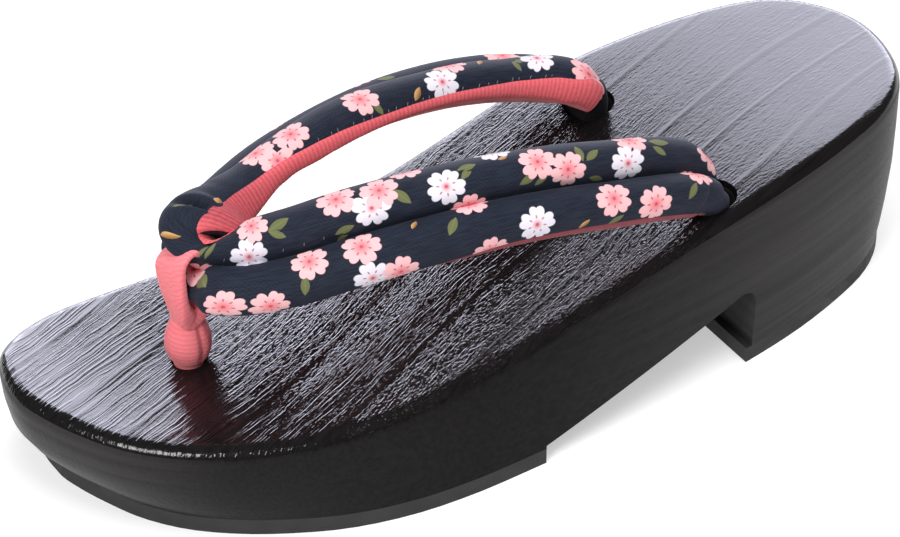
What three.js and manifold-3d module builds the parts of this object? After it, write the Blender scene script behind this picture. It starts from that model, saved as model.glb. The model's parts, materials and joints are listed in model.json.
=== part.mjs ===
// Left-foot geta sandal: a lacquered wooden base on two rubber soles, with a padded
// thong strap held at the toe by a ribbed cloth loop.
// Millimetres. +X points to the toe, +Y to the wearer's left, +Z up; the soles stand on z = 0.
import * as THREE from 'three';
import { mergeVertices } from 'three/addons/utils/BufferGeometryUtils.js';
import Module from 'manifold-3d';

const wasm = await Module();
wasm.setup();

// Rubber soles
const RUBBER = 4.2;
const FRONT_SOLE_END = 10.8;
const HEEL_SOLE_START = -50.7;

// Wooden base
const TOE_TIP = { x: 118.6, y: -21 };
const HEEL_TIP = { x: -118.4, y: -12.8 };
const EDGE_RADIUS = 3.6;
const SIDE_INSET = 0.4;
const TOE_UNDERCUT = 9.8;
const HEEL_UNDERCUT = 3.9;
const HEEL_SIDE_INSET = 0.7;
const LEDGE = 1.8;
const ARCH_STEP = 0.9;
const ARCH_RISE = 18.6;
const ARCH_FILLET = 8;
const STATIONS = 64;
const ACROSS = 6;

// Strap holes
const FRONT_HOLE = { x: 78.3, y: -10.5, radius: 4.1, recess: 9, recessTop: 12.5 };
const REAR_HOLE = { x: -42.4, radius: 5.8, slant: 0.14, exit: 27.6, recess: 7.4, recessDepth: 7 };
const REAR_MIDDLE = 0.65;
const REAR_HALF = 23.65;
const REAR_SKEW = 1.3;
const GAP = 0.3;

// Strap and loop, with the strap's bend over the toes and where the loop draws its inner roll in
const STRAP_FRONT = { x: 79.8, y: -8.7 };
const PINCH = { share: 0.7, behind: 4, spread: 7 };
const LOOP_PLANE = -8.8;
const LOOP_REACH = 5.5;
const STRAP_STEPS = 85;
const GROOVE = 0.26;
const UNDERSIDE = 0.36;
const LOOP_STEPS = 40;
const STEM_SIDES = 24;

// Outline of the base from toe to heel: left and right edges and height of the top face
const BASE = [
  { x: 117.2, left: -13.2, right: -29.6, top: 27.2 },
  { x: 114, left: -4.6, right: -36.9, top: 27 },
  { x: 109, left: 4.8, right: -41.3, top: 26.7 },
  { x: 102, left: 13.3, right: -44.4, top: 26.4 },
  { x: 93, left: 20.8, right: -45.7, top: 26.5 },
  { x: 80, left: 28.5, right: -44.9, top: 27.2 },
  { x: 65, left: 34.6, right: -42.4, top: 28.9 },
  { x: 48, left: 38.2, right: -39.4, top: 31.5 },
  { x: 30, left: 39.3, right: -37, top: 34.8 },
  { x: 10, left: 38.8, right: -36.2, top: 38.6 },
  { x: -10, left: 37.6, right: -38, top: 42.3 },
  { x: -30, left: 35.9, right: -40.6, top: 45.6 },
  { x: -50, left: 33.5, right: -41.9, top: 48 },
  { x: -70, left: 29.6, right: -41.4, top: 49.3 },
  { x: -87, left: 24.4, right: -40.1, top: 49.5 },
  { x: -99, left: 19.2, right: -37.9, top: 49.2 },
  { x: -108, left: 12.4, right: -33.3, top: 48.8 },
  { x: -114.4, left: 3.6, right: -26.1, top: 48.4 },
  { x: -117.4, left: -4.8, right: -19.6, top: 48.2 },
];

// Wall of the base from the soles up to the rounded edge: share of its height and of its flare
const WALL = [
  { rise: 0, flare: 0 },
  { rise: 0.25, flare: 0.5 },
  { rise: 0.5, flare: 0.82 },
  { rise: 1, flare: 1 },
];

// One side of the strap from its knot under the base to the bend at the toe: distance from
// the strap's middle line, height, lean and turn of the band's width, width and thickness.
// Twist steepens the right side against the left; inner and outer fatten the right side.
const STRAP = [
  { x: -38.2, half: 23.65, z: 20.4, lean: 0, twist: 0, turn: 0, width: 5, thick: 5, inner: 0, outer: 0 },
  { x: -38.5, half: 23.65, z: 22.4, lean: 0, twist: 0, turn: 0, width: 12, thick: 11, inner: 0, outer: 0 },
  { x: -39.3, half: 23.65, z: 26, lean: 0, twist: 0, turn: 0, width: 10, thick: 9.2, inner: 0, outer: 0 },
  { x: -40.8, half: 23.65, z: 35.4, lean: 0, twist: 0, turn: 0, width: 9.8, thick: 9, inner: 0, outer: 0 },
  { x: -41.2, half: 23.65, z: 44, lean: 14, twist: 0, turn: 0, width: 10.6, thick: 9.2, inner: 0, outer: 0 },
  { x: -40.3, half: 23.7, z: 49.6, lean: 26, twist: 0, turn: 0, width: 14.4, thick: 9.8, inner: 0, outer: 0 },
  { x: -37.5, half: 23.8, z: 53.6, lean: 31, twist: 0, turn: -3, width: 17.4, thick: 10.8, inner: 0.6, outer: 0 },
  { x: -32.9, half: 24.3, z: 56.4, lean: 33, twist: 0, turn: -4, width: 18.9, thick: 11.4, inner: 1.2, outer: 0 },
  { x: -26, half: 25.2, z: 59.1, lean: 35, twist: 0, turn: -2, width: 19.5, thick: 11.6, inner: 1.4, outer: 0 },
  { x: -16, half: 25.8, z: 61.8, lean: 37, twist: 0, turn: 1, width: 19.9, thick: 11.6, inner: 1.4, outer: 0 },
  { x: -2, half: 25.1, z: 64.5, lean: 39, twist: 0, turn: 5, width: 20.5, thick: 11.6, inner: 1.2, outer: 0 },
  { x: 14, half: 23.5, z: 65.8, lean: 40, twist: 0, turn: 8, width: 21.1, thick: 11.6, inner: 1, outer: 0 },
  { x: 30, half: 21.1, z: 65.2, lean: 40, twist: 0, turn: 12, width: 21.8, thick: 11.4, inner: 0.6, outer: 0 },
  { x: 46, half: 17.5, z: 62.9, lean: 40, twist: 0, turn: 15, width: 22.4, thick: 11.2, inner: 0, outer: 0.4 },
  { x: 59, half: 13.3, z: 59.4, lean: 40, twist: 3, turn: 18, width: 22.4, thick: 10.8, inner: 0, outer: 1.4 },
  { x: 68.3, half: 9.6, z: 57.5, lean: 46, twist: 10, turn: 32, width: 22.2, thick: 10.6, inner: 0, outer: 2.4 },
  { x: 74, half: 5.2, z: 56.8, lean: 58, twist: 15, turn: 62, width: 22, thick: 10.6, inner: 0, outer: 2.2 },
];
const BEND = STRAP[STRAP.length - 1];
const STRAP_NOSE = { ...BEND, x: 77.4, half: 0, lean: 70, twist: 0, turn: 90, outer: 0 };

// Loop round the lower roll of the strap, as a closed path in a plane beside the front hole.
// Tilt lifts the band towards the wearer's left where it crosses the front of the strap.
const LOOP = [
  { x: 79.2, z: 41, width: 6.2, thick: 6, tilt: 0 },
  { x: 81.6, z: 45, width: 9.4, thick: 3.6, tilt: 0.1 },
  { x: 82.8, z: 50, width: 11.6, thick: 2.8, tilt: 0.3 },
  { x: 82.8, z: 55.2, width: 12.6, thick: 2.6, tilt: 0.42 },
  { x: 79, z: 57.9, width: 12, thick: 2.4, tilt: 0.42 },
  { x: 73.4, z: 57.6, width: 9, thick: 2.4, tilt: 0.2 },
  { x: 70.6, z: 52.6, width: 7, thick: 2.6, tilt: 0 },
  { x: 72.4, z: 47, width: 6, thick: 3, tilt: 0 },
  { x: 76, z: 43.2, width: 6.2, thick: 4.6, tilt: 0 },
];

// Stem of the loop from the knot under the base to the neck below the strap
const STEM = [
  { z: 5.6, radius: 3 },
  { z: 6.6, radius: 6.4 },
  { z: 8.8, radius: 7.4 },
  { z: 10.8, radius: 6.2 },
  { z: 12.6, radius: 3.7 },
  { z: 18, radius: 3.6 },
  { z: 25, radius: 3.6 },
  { z: 27.2, radius: 3.7 },
  { z: 28.4, radius: 4.5 },
  { z: 30, radius: 5.2 },
  { z: 32, radius: 5.6 },
  { z: 35, radius: 5.3 },
  { z: 38, radius: 4.3 },
  { z: 40.2, radius: 3.3 },
  { z: 42.4, radius: 2.6 },
];

const LACQUER = { color: 0x141214, roughness: 0.3, metalness: 0 };
const SOLE_RUBBER = { color: 0x2a2a2c, roughness: 0.85, metalness: 0 };
const NAVY_CLOTH = { color: 0x1b2030, roughness: 0.9, metalness: 0 };
const CORAL_CLOTH = { color: 0xe8646e, roughness: 0.9, metalness: 0 };

// Smooth curve through one column of a table, by the rows' own parameter t
function along(rows, key, t) {
  let i = 1;
  while (i < rows.length - 1 && rows[i].t < t) i += 1;
  const before = rows[Math.max(i - 2, 0)];
  const a = rows[i - 1];
  const b = rows[i];
  const after = rows[Math.min(i + 1, rows.length - 1)];
  const span = b.t - a.t;
  const slope = (p, q) => (q === p ? 0 : (q[key] - p[key]) / (q.t - p.t));
  const from = slope(before, b) * span;
  const to = slope(a, after) * span;
  const s = (t - a.t) / span;
  const rise = b[key] - a[key];
  return a[key] + s * (from + s * (3 * rise - 2 * from - to + s * (from + to - 2 * rise)));
}

// Solid from points and triangles, turned the right way out
function solid(points, faces) {
  let volume = 0;
  for (const [a, b, c] of faces) {
    volume += points[a].dot(new THREE.Vector3().crossVectors(points[b], points[c]));
  }
  const wound = volume < 0 ? faces.map(([a, b, c]) => [a, c, b]) : faces;
  const numbers = new Float32Array(points.flatMap((p) => [p.x, p.y, p.z]));
  const mesh = new wasm.Mesh({
    numProp: 3,
    vertProperties: numbers,
    triVerts: new Uint32Array(wound.flat()),
  });
  return new wasm.Manifold(mesh);
}

// Solid of a three.js primitive
function primitive(geometry) {
  const bare = new THREE.BufferGeometry();
  bare.setAttribute('position', geometry.getAttribute('position'));
  bare.setIndex(geometry.getIndex());
  const merged = mergeVertices(bare, 1e-4);
  const position = merged.getAttribute('position');
  const index = merged.getIndex();
  const points = [];
  const faces = [];
  for (let i = 0; i < position.count; i += 1) {
    points.push(new THREE.Vector3().fromBufferAttribute(position, i));
  }
  for (let i = 0; i < index.count; i += 3) {
    const corner = [index.getX(i), index.getX(i + 1), index.getX(i + 2)];
    if (new Set(corner).size === 3) faces.push(corner);
  }
  return solid(points, faces);
}

// Bands of triangles between rings of equal length, each ring closed on itself
function bands(faces, count, size, closed) {
  const last = closed ? count : count - 1;
  for (let i = 0; i < last; i += 1) {
    const low = i * size;
    const high = ((i + 1) % count) * size;
    for (let j = 0; j < size; j += 1) {
      const next = (j + 1) % size;
      faces.push([low + j, low + next, high + j], [high + j, low + next, high + next]);
    }
  }
}

// Fan from a point at the middle of a ring
function fan(points, faces, start, size, flip) {
  const middle = new THREE.Vector3();
  for (let j = 0; j < size; j += 1) middle.add(points[start + j]);
  points.push(middle.divideScalar(size));
  const tip = points.length - 1;
  for (let j = 0; j < size; j += 1) {
    const next = (j + 1) % size;
    faces.push(flip ? [start + next, start + j, tip] : [start + j, start + next, tip]);
  }
}

// The base outline in plan, toe tip first, then the left side, heel tip and right side
const MIDDLE_X = (TOE_TIP.x + HEEL_TIP.x) / 2;
const REACH_X = (TOE_TIP.x - HEEL_TIP.x) / 2;
const rowAngle = (x) => Math.acos((x - MIDDLE_X) / REACH_X);
const tipRow = (tip, row, t) => ({ ...row, t, left: tip.y, right: tip.y });
const baseRows = [
  tipRow(TOE_TIP, BASE[0], 0),
  ...BASE.map((row) => ({ ...row, t: rowAngle(row.x) })),
  tipRow(HEEL_TIP, BASE[BASE.length - 1], Math.PI),
];
const topAt = (x) => {
  const clamped = THREE.MathUtils.clamp((x - MIDDLE_X) / REACH_X, -1, 1);
  return along(baseRows, 'top', Math.acos(clamped));
};

function planOutline() {
  const outline = [];
  for (let i = 0; i < 2 * STATIONS; i += 1) {
    const t = (Math.PI * (i <= STATIONS ? i : 2 * STATIONS - i)) / STATIONS;
    const side = i <= STATIONS ? 'left' : 'right';
    outline.push(new THREE.Vector2(MIDDLE_X + REACH_X * Math.cos(t), along(baseRows, side, t)));
  }
  return outline;
}
const OUTLINE = planOutline();
const OUTWARD = OUTLINE.map((point, i) => {
  const count = OUTLINE.length;
  const after = OUTLINE[(i + 1) % count];
  const before = OUTLINE[(i + count - 1) % count];
  return new THREE.Vector2(after.y - before.y, before.x - after.x).normalize();
});

// Outline moved inwards by a distance that may depend on the way the edge faces
const insetOutline = (distance) =>
  OUTLINE.map((point, i) => point.clone().addScaledVector(OUTWARD[i], -distance(OUTWARD[i], point)));
const soleInset = (facing, point) => {
  const heelward = THREE.MathUtils.smoothstep(-point.x, -10, 60);
  const side = THREE.MathUtils.lerp(SIDE_INSET, HEEL_SIDE_INSET, heelward);
  const end = facing.x > 0 ? TOE_UNDERCUT : HEEL_UNDERCUT;
  return side + (end - side) * Math.abs(facing.x) ** (facing.x > 0 ? 1.6 : 1);
};
const FOOTPRINT = insetOutline(soleInset);

// Grid across a ring between its left and right sides
function lid(points, faces, start, divisions, height, flip) {
  const push = (a, b, c) => faces.push(flip ? [a, c, b] : [a, b, c]);
  const count = 2 * STATIONS;
  const line = (i) => {
    const ids = [start + i];
    const left = points[start + i];
    const right = points[start + count - i];
    for (let s = 1; s < divisions; s += 1) {
      const point = left.clone().lerp(right, s / divisions);
      point.z = height(point.x);
      points.push(point);
      ids.push(points.length - 1);
    }
    ids.push(start + count - i);
    return ids;
  };
  const lines = [];
  for (let i = 1; i < STATIONS; i += 1) lines.push(line(i));
  for (let s = 0; s < divisions; s += 1) {
    push(start, lines[0][s], lines[0][s + 1]);
    const end = lines[lines.length - 1];
    push(end[s], start + STATIONS, end[s + 1]);
  }
  for (let i = 0; i < lines.length - 1; i += 1) {
    for (let s = 0; s < divisions; s += 1) {
      push(lines[i][s], lines[i + 1][s], lines[i][s + 1]);
      push(lines[i][s + 1], lines[i + 1][s], lines[i + 1][s + 1]);
    }
  }
}

// Wooden block before the arch is cut, its top face raised by lift
function baseBlock(lift) {
  const points = [];
  const ring = (plan, height) => {
    for (const p of plan) points.push(new THREE.Vector3(p.x, p.y, height(p.x)));
  };
  const top = (x) => topAt(x) + lift;
  for (const { rise, flare } of WALL) {
    const plan = FOOTPRINT.map((p, i) => p.clone().lerp(OUTLINE[i], flare));
    ring(plan, (x) => RUBBER + (top(x) - EDGE_RADIUS - RUBBER) * rise);
  }
  for (const angle of [25, 50, 72, 90]) {
    const turn = THREE.MathUtils.degToRad(angle);
    const inset = EDGE_RADIUS * (1 - Math.cos(turn));
    const drop = EDGE_RADIUS * (1 - Math.sin(turn));
    ring(insetOutline(() => inset), (x) => top(x) - drop);
  }
  const size = OUTLINE.length;
  const faces = [];
  const rings = points.length / size;
  bands(faces, rings, size, false);
  lid(points, faces, 0, 1, () => RUBBER, true);
  lid(points, faces, (rings - 1) * size, ACROSS, top, false);
  return solid(points, faces);
}

// Cylinder between two points
function rod(from, to, radius, sides = 32) {
  const span = new THREE.Vector3().subVectors(to, from);
  const geometry = new THREE.CylinderGeometry(radius, radius, span.length(), sides);
  const up = new THREE.Vector3(0, 1, 0);
  geometry.applyQuaternion(new THREE.Quaternion().setFromUnitVectors(up, span.clone().normalize()));
  const middle = from.clone().add(to).divideScalar(2);
  geometry.translate(middle.x, middle.y, middle.z);
  return primitive(geometry);
}

// Hollow under the instep: a slope up from the front sole, a fillet and the heel's front face
function archCutter() {
  const breast = HEEL_SOLE_START - LEDGE;
  const low = RUBBER + ARCH_STEP;
  const slope = Math.atan2(ARCH_RISE, FRONT_SOLE_END - breast);
  const turn = Math.PI / 2 - slope;
  const peak = low + ARCH_RISE;
  const back = ARCH_FILLET * Math.tan(turn / 2);
  const middle = { x: breast + ARCH_FILLET, z: peak - back };
  const shape = new THREE.Shape();
  shape.moveTo(FRONT_SOLE_END, -5);
  shape.lineTo(FRONT_SOLE_END, low);
  const steps = 6;
  for (let i = 0; i <= steps; i += 1) {
    const angle = Math.PI / 2 - slope + ((Math.PI / 2 + slope) * i) / steps;
    shape.lineTo(middle.x + ARCH_FILLET * Math.cos(angle), middle.z + ARCH_FILLET * Math.sin(angle));
  }
  shape.lineTo(breast, -5);
  const geometry = new THREE.ExtrudeGeometry(shape, { depth: 160, bevelEnabled: false });
  geometry.rotateX(Math.PI / 2);
  geometry.translate(0, 80, 0);
  return primitive(geometry);
}

const rearAxis = (side, drop) =>
  new THREE.Vector3(
    REAR_HOLE.x - side * REAR_SKEW + REAR_HOLE.slant * drop,
    REAR_MIDDLE + side * REAR_HALF,
    topAt(REAR_HOLE.x) - drop,
  );
const rearHole = (side, radius) => rod(rearAxis(side, -12), rearAxis(side, 45), radius);
const frontHole = (radius) =>
  rod(
    new THREE.Vector3(FRONT_HOLE.x, FRONT_HOLE.y, -5),
    new THREE.Vector3(FRONT_HOLE.x, FRONT_HOLE.y, 50),
    radius,
  );
const frontRecess = () =>
  rod(
    new THREE.Vector3(FRONT_HOLE.x, FRONT_HOLE.y, -5),
    new THREE.Vector3(FRONT_HOLE.x, FRONT_HOLE.y, FRONT_HOLE.recessTop),
    FRONT_HOLE.recess,
  );
const rearRecess = (side) =>
  rod(rearAxis(side, REAR_HOLE.exit - REAR_HOLE.recessDepth), rearAxis(side, 45), REAR_HOLE.recess);

// Base with its three holes; slack raises the top and narrows the rear holes
function woodenBase(slack) {
  let body = baseBlock(slack).subtract(archCutter());
  for (const side of [1, -1]) {
    body = body.subtract(rearHole(side, REAR_HOLE.radius - slack));
    if (!slack) body = body.subtract(rearRecess(side));
  }
  if (slack) return body;
  return body.subtract(frontHole(FRONT_HOLE.radius)).subtract(frontRecess());
}

// Rubber sheet under the base between two distances along it
function soleSheet(from, to) {
  const points = [];
  for (const height of [0, RUBBER]) {
    for (const p of FOOTPRINT) points.push(new THREE.Vector3(p.x, p.y, height));
  }
  const faces = [];
  bands(faces, 2, FOOTPRINT.length, false);
  lid(points, faces, 0, 1, () => 0, true);
  lid(points, faces, FOOTPRINT.length, 1, () => RUBBER, false);
  const cut = new THREE.BoxGeometry(to - from, 200, 40);
  cut.translate((from + to) / 2, 0, 0);
  return solid(points, faces).intersect(primitive(cut));
}

// Section of the strap: two padded rolls with a stitched groove between and a flat underside;
// pinch draws the inner roll in
function strapSection(width, thick, pinch) {
  const section = [];
  const reach = width / 4 + 0.25;
  const roll = (side, from, to) => {
    const steps = 8;
    for (let i = 0; i <= steps; i += 1) {
      const angle = THREE.MathUtils.degToRad(from + ((to - from) * i) / steps);
      const u = (side * width) / 4 + reach * Math.sin(angle);
      const v = (thick / 2) * Math.cos(angle);
      section.push({ u: u > 0 ? u * (1 - pinch) : u, v: Math.max(v, -UNDERSIDE * thick) });
    }
  };
  roll(-1, -128, 46);
  section.push({ u: 0, v: GROOVE * thick });
  roll(1, -46, 128);
  for (const share of [0.5 * (1 - pinch), 0, -0.5]) {
    section.push({ u: (share * width) / 2, v: -UNDERSIDE * thick });
  }
  return section;
}

// Rows of the strap's own path, left knot to toe bend to right knot
function strapRows() {
  const slope = (REAR_MIDDLE - STRAP_FRONT.y) / (REAR_HOLE.x - STRAP_FRONT.x);
  const heading = Math.atan(slope);
  const place = (row, side) => {
    const right = side < 0 ? 1 : 0;
    const shift = (right * (row.outer - row.inner)) / 2;
    const x = row.x - side * REAR_SKEW * THREE.MathUtils.smoothstep(-row.x, -10, 36);
    return {
      ...row,
      x,
      y: STRAP_FRONT.y + slope * (row.x - STRAP_FRONT.x) + side * (row.half + 0.6 * shift),
      z: row.z + 0.8 * shift,
      thick: row.thick + right * (row.outer + row.inner),
      lean: THREE.MathUtils.degToRad(row.lean - side * row.twist),
      face: heading - Math.PI + side * THREE.MathUtils.degToRad(90 - row.turn),
    };
  };
  const left = STRAP.map((row) => place(row, 1));
  const right = STRAP.map((row) => place(row, -1)).reverse();
  const rows = [...left, place(STRAP_NOSE, 1), ...right];
  rows.forEach((row, i) => {
    const from = i && rows[i - 1];
    const step = i ? Math.hypot(row.x - from.x, row.y - from.y, row.z - from.z) : 0;
    row.t = i ? from.t + Math.sqrt(step) : 0;
  });
  return rows;
}

function strapBody() {
  const rows = strapRows();
  const end = rows[rows.length - 1].t;
  const at = (t) =>
    new THREE.Vector3(along(rows, 'x', t), along(rows, 'y', t), along(rows, 'z', t));
  const nose = rows[STRAP.length];
  const points = [];
  let size = 0;
  for (let i = 0; i <= STRAP_STEPS; i += 1) {
    const t = (end * i) / STRAP_STEPS;
    const ahead = at(Math.min(t + 0.02, end));
    const travel = ahead.sub(at(Math.max(t - 0.02, 0))).normalize();
    const face = along(rows, 'face', t);
    const lean = along(rows, 'lean', t);
    const across = new THREE.Vector3(
      Math.cos(lean) * Math.cos(face),
      Math.cos(lean) * Math.sin(face),
      Math.sin(lean),
    );
    across.addScaledVector(travel, -across.dot(travel)).normalize();
    const outward = new THREE.Vector3().crossVectors(across, travel);
    const fromNose = at(t).distanceTo(new THREE.Vector3(nose.x, nose.y, nose.z)) * Math.sign(t - nose.t);
    const pinch = PINCH.share * Math.exp(-(((fromNose + PINCH.behind) / PINCH.spread) ** 2));
    const section = strapSection(along(rows, 'width', t), along(rows, 'thick', t), pinch);
    size = section.length;
    for (const { u, v } of section) {
      points.push(at(t).addScaledVector(across, u).addScaledVector(outward, v));
    }
  }
  const faces = [];
  bands(faces, STRAP_STEPS + 1, size, false);
  fan(points, faces, 0, size, true);
  fan(points, faces, STRAP_STEPS * size, size, false);
  return solid(points, faces);
}

// Loop of ribbed cloth: a ring round the strap's lower roll on a stem through the base
function loopBody(grow) {
  const rows = [...LOOP, LOOP[0]].map((row, i) => ({ ...row, t: i }));
  const closed = [{ ...LOOP[LOOP.length - 1], t: -1 }, ...rows, { ...LOOP[1], t: LOOP.length + 1 }];
  const at = (t) => new THREE.Vector3(along(closed, 'x', t), LOOP_PLANE, along(closed, 'z', t));
  const points = [];
  const sides = 16;
  for (let i = 0; i < LOOP_STEPS; i += 1) {
    const t = (LOOP.length * i) / LOOP_STEPS;
    const travel = at(t + 0.02).sub(at(t - 0.02)).normalize();
    const out = new THREE.Vector3(-travel.z, 0, travel.x);
    const width = along(closed, 'width', t) / 2 + grow;
    const thick = along(closed, 'thick', t) / 2 + grow;
    const tilt = along(closed, 'tilt', t);
    for (let j = 0; j < sides; j += 1) {
      const angle = (2 * Math.PI * j) / sides;
      const u = width * Math.sign(Math.cos(angle)) * Math.abs(Math.cos(angle)) ** 0.6;
      const v = thick * Math.sign(Math.sin(angle)) * Math.abs(Math.sin(angle)) ** 0.6;
      const point = at(t).addScaledVector(out, v);
      point.y += u;
      point.z += tilt * (u + LOOP_REACH);
      points.push(point);
    }
  }
  const faces = [];
  bands(faces, LOOP_STEPS, sides, true);
  return solid(points, faces).add(loopStem(grow));
}

function loopStem(grow) {
  const points = [];
  for (const { z, radius } of STEM) {
    for (let j = 0; j < STEM_SIDES; j += 1) {
      const angle = (2 * Math.PI * j) / STEM_SIDES;
      const reach = radius + grow;
      const x = FRONT_HOLE.x + reach * Math.cos(angle);
      points.push(new THREE.Vector3(x, FRONT_HOLE.y + reach * Math.sin(angle), z));
    }
  }
  const faces = [];
  bands(faces, STEM.length, STEM_SIDES, false);
  fan(points, faces, 0, STEM_SIDES, true);
  fan(points, faces, (STEM.length - 1) * STEM_SIDES, STEM_SIDES, false);
  return solid(points, faces);
}

// Middle of the base in plan, which is brought over the origin
const PLAN = new THREE.Box2().setFromPoints(OUTLINE);
const CENTRE = PLAN.getCenter(new THREE.Vector2());

// Named mesh of a finished solid
function piece(name, body, finish) {
  const { vertProperties, triVerts, numProp } = body.getMesh();
  const position = new Float32Array((vertProperties.length / numProp) * 3);
  for (let i = 0; i < position.length / 3; i += 1) {
    for (let axis = 0; axis < 3; axis += 1) position[3 * i + axis] = vertProperties[numProp * i + axis];
  }
  const geometry = new THREE.BufferGeometry();
  geometry.setAttribute('position', new THREE.BufferAttribute(position, 3));
  geometry.setIndex(new THREE.BufferAttribute(new Uint32Array(triVerts), 1));
  geometry.translate(-CENTRE.x, -CENTRE.y, 0);
  geometry.computeVertexNormals();
  const mesh = new THREE.Mesh(geometry, new THREE.MeshStandardMaterial(finish));
  mesh.name = name;
  return mesh;
}

const strap = strapBody().subtract(woodenBase(GAP)).subtract(loopBody(GAP));
const frontSole = soleSheet(FRONT_SOLE_END, 150).subtract(frontRecess());

const geta = new THREE.Group();
geta.name = 'geta_sandal';
geta.add(
  piece('base', woodenBase(0), LACQUER),
  piece('front_sole', frontSole, SOLE_RUBBER),
  piece('heel_sole', soleSheet(-150, HEEL_SOLE_START), SOLE_RUBBER),
  piece('strap', strap, NAVY_CLOTH),
  piece('front_loop', loopBody(0), CORAL_CLOTH),
);
export default geta;
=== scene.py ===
"""Looks of a left-foot geta: lacquered base, rubber soles, padded printed strap and ribbed toe loop."""

import json
import logging
import math
from dataclasses import dataclass, field
from enum import Enum
from functools import partial
from typing import Sequence

import bmesh
import bpy
from mathutils import Matrix, Vector

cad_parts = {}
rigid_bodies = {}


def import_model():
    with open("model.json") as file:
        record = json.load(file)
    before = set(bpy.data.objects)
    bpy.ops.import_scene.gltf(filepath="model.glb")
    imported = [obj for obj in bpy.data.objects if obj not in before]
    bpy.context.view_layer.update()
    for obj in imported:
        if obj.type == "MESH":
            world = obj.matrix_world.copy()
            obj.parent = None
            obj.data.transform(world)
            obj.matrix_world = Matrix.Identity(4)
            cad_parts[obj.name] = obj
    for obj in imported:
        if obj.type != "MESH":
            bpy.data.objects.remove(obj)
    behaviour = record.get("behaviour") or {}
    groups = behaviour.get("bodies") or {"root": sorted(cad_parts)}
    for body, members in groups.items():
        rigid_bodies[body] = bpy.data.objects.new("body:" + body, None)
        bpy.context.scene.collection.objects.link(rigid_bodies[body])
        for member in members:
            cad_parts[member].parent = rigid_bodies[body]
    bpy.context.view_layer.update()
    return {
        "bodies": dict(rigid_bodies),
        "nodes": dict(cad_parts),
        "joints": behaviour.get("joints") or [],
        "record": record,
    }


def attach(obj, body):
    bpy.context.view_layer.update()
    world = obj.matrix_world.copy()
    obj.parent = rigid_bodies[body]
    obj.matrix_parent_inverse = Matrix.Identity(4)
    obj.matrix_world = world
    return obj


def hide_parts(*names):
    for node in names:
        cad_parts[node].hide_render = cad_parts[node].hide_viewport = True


LOG = logging.getLogger("geta")
MM = 0.001
# Middle of the base's own drawing, which stands at the frame's origin
CENTRE = Vector((0.1, -3.2005938410758965, 0.0))
# Vertices nearer than this, in millimetres, are one where a tube closes
SEAM = 0.004
BODY = "root"
Row = dict[str, float]
Socket = bpy.types.NodeSocket
Number = bpy.types.NodeSocket | float


def colour(code: str) -> tuple[float, float, float, float]:
    """Turn an sRGB hex value to linear.

    Args:
        code: six hex digits.

    Returns:
        Linear red, green, blue and full alpha.
    """
    parts = [int(code[i : i + 2], 16) / 255 for i in (0, 2, 4)]
    linear = [p / 12.92 if p <= 0.04045 else ((p + 0.055) / 1.055) ** 2.4 for p in parts]
    return (linear[0], linear[1], linear[2], 1.0)


def ease(value: float, low: float, high: float) -> float:
    """Rise smoothly from 0 at low to 1 at high.

    Args:
        value: where to read the rise.
        low: where it starts.
        high: where it ends.

    Returns:
        The share of the rise, from 0 to 1.
    """
    share = min(max((value - low) / (high - low), 0.0), 1.0)
    return share * share * (3 - 2 * share)


def along(rows: Sequence[Row], key: str, t: float) -> float:
    """Read one measure of a table on a smooth curve through its rows.

    Args:
        rows: the table, each row with its place t.
        key: the measure's name.
        t: the place on the curve.

    Returns:
        The measure at t.
    """
    i = 1
    while i < len(rows) - 1 and rows[i]["t"] < t:
        i += 1
    before, a, b = rows[max(i - 2, 0)], rows[i - 1], rows[i]
    after = rows[min(i + 1, len(rows) - 1)]
    span = b["t"] - a["t"]
    leave = 0.0 if before is b else (b[key] - before[key]) / (b["t"] - before["t"]) * span
    arrive = 0.0 if a is after else (after[key] - a[key]) / (after["t"] - a["t"]) * span
    s = (t - a["t"]) / span
    rise = b[key] - a[key]
    return a[key] + s * (leave + s * (3 * rise - 2 * leave - arrive + s * (leave + arrive - 2 * rise)))


def table(names: str, rows: Sequence[Sequence[float]]) -> list[Row]:
    """Give each number of a table its measure's name.

    Args:
        names: the measures, in order.
        rows: the numbers.

    Returns:
        One dictionary a row.
    """
    return [dict(zip(names.split(), row)) for row in rows]


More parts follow.
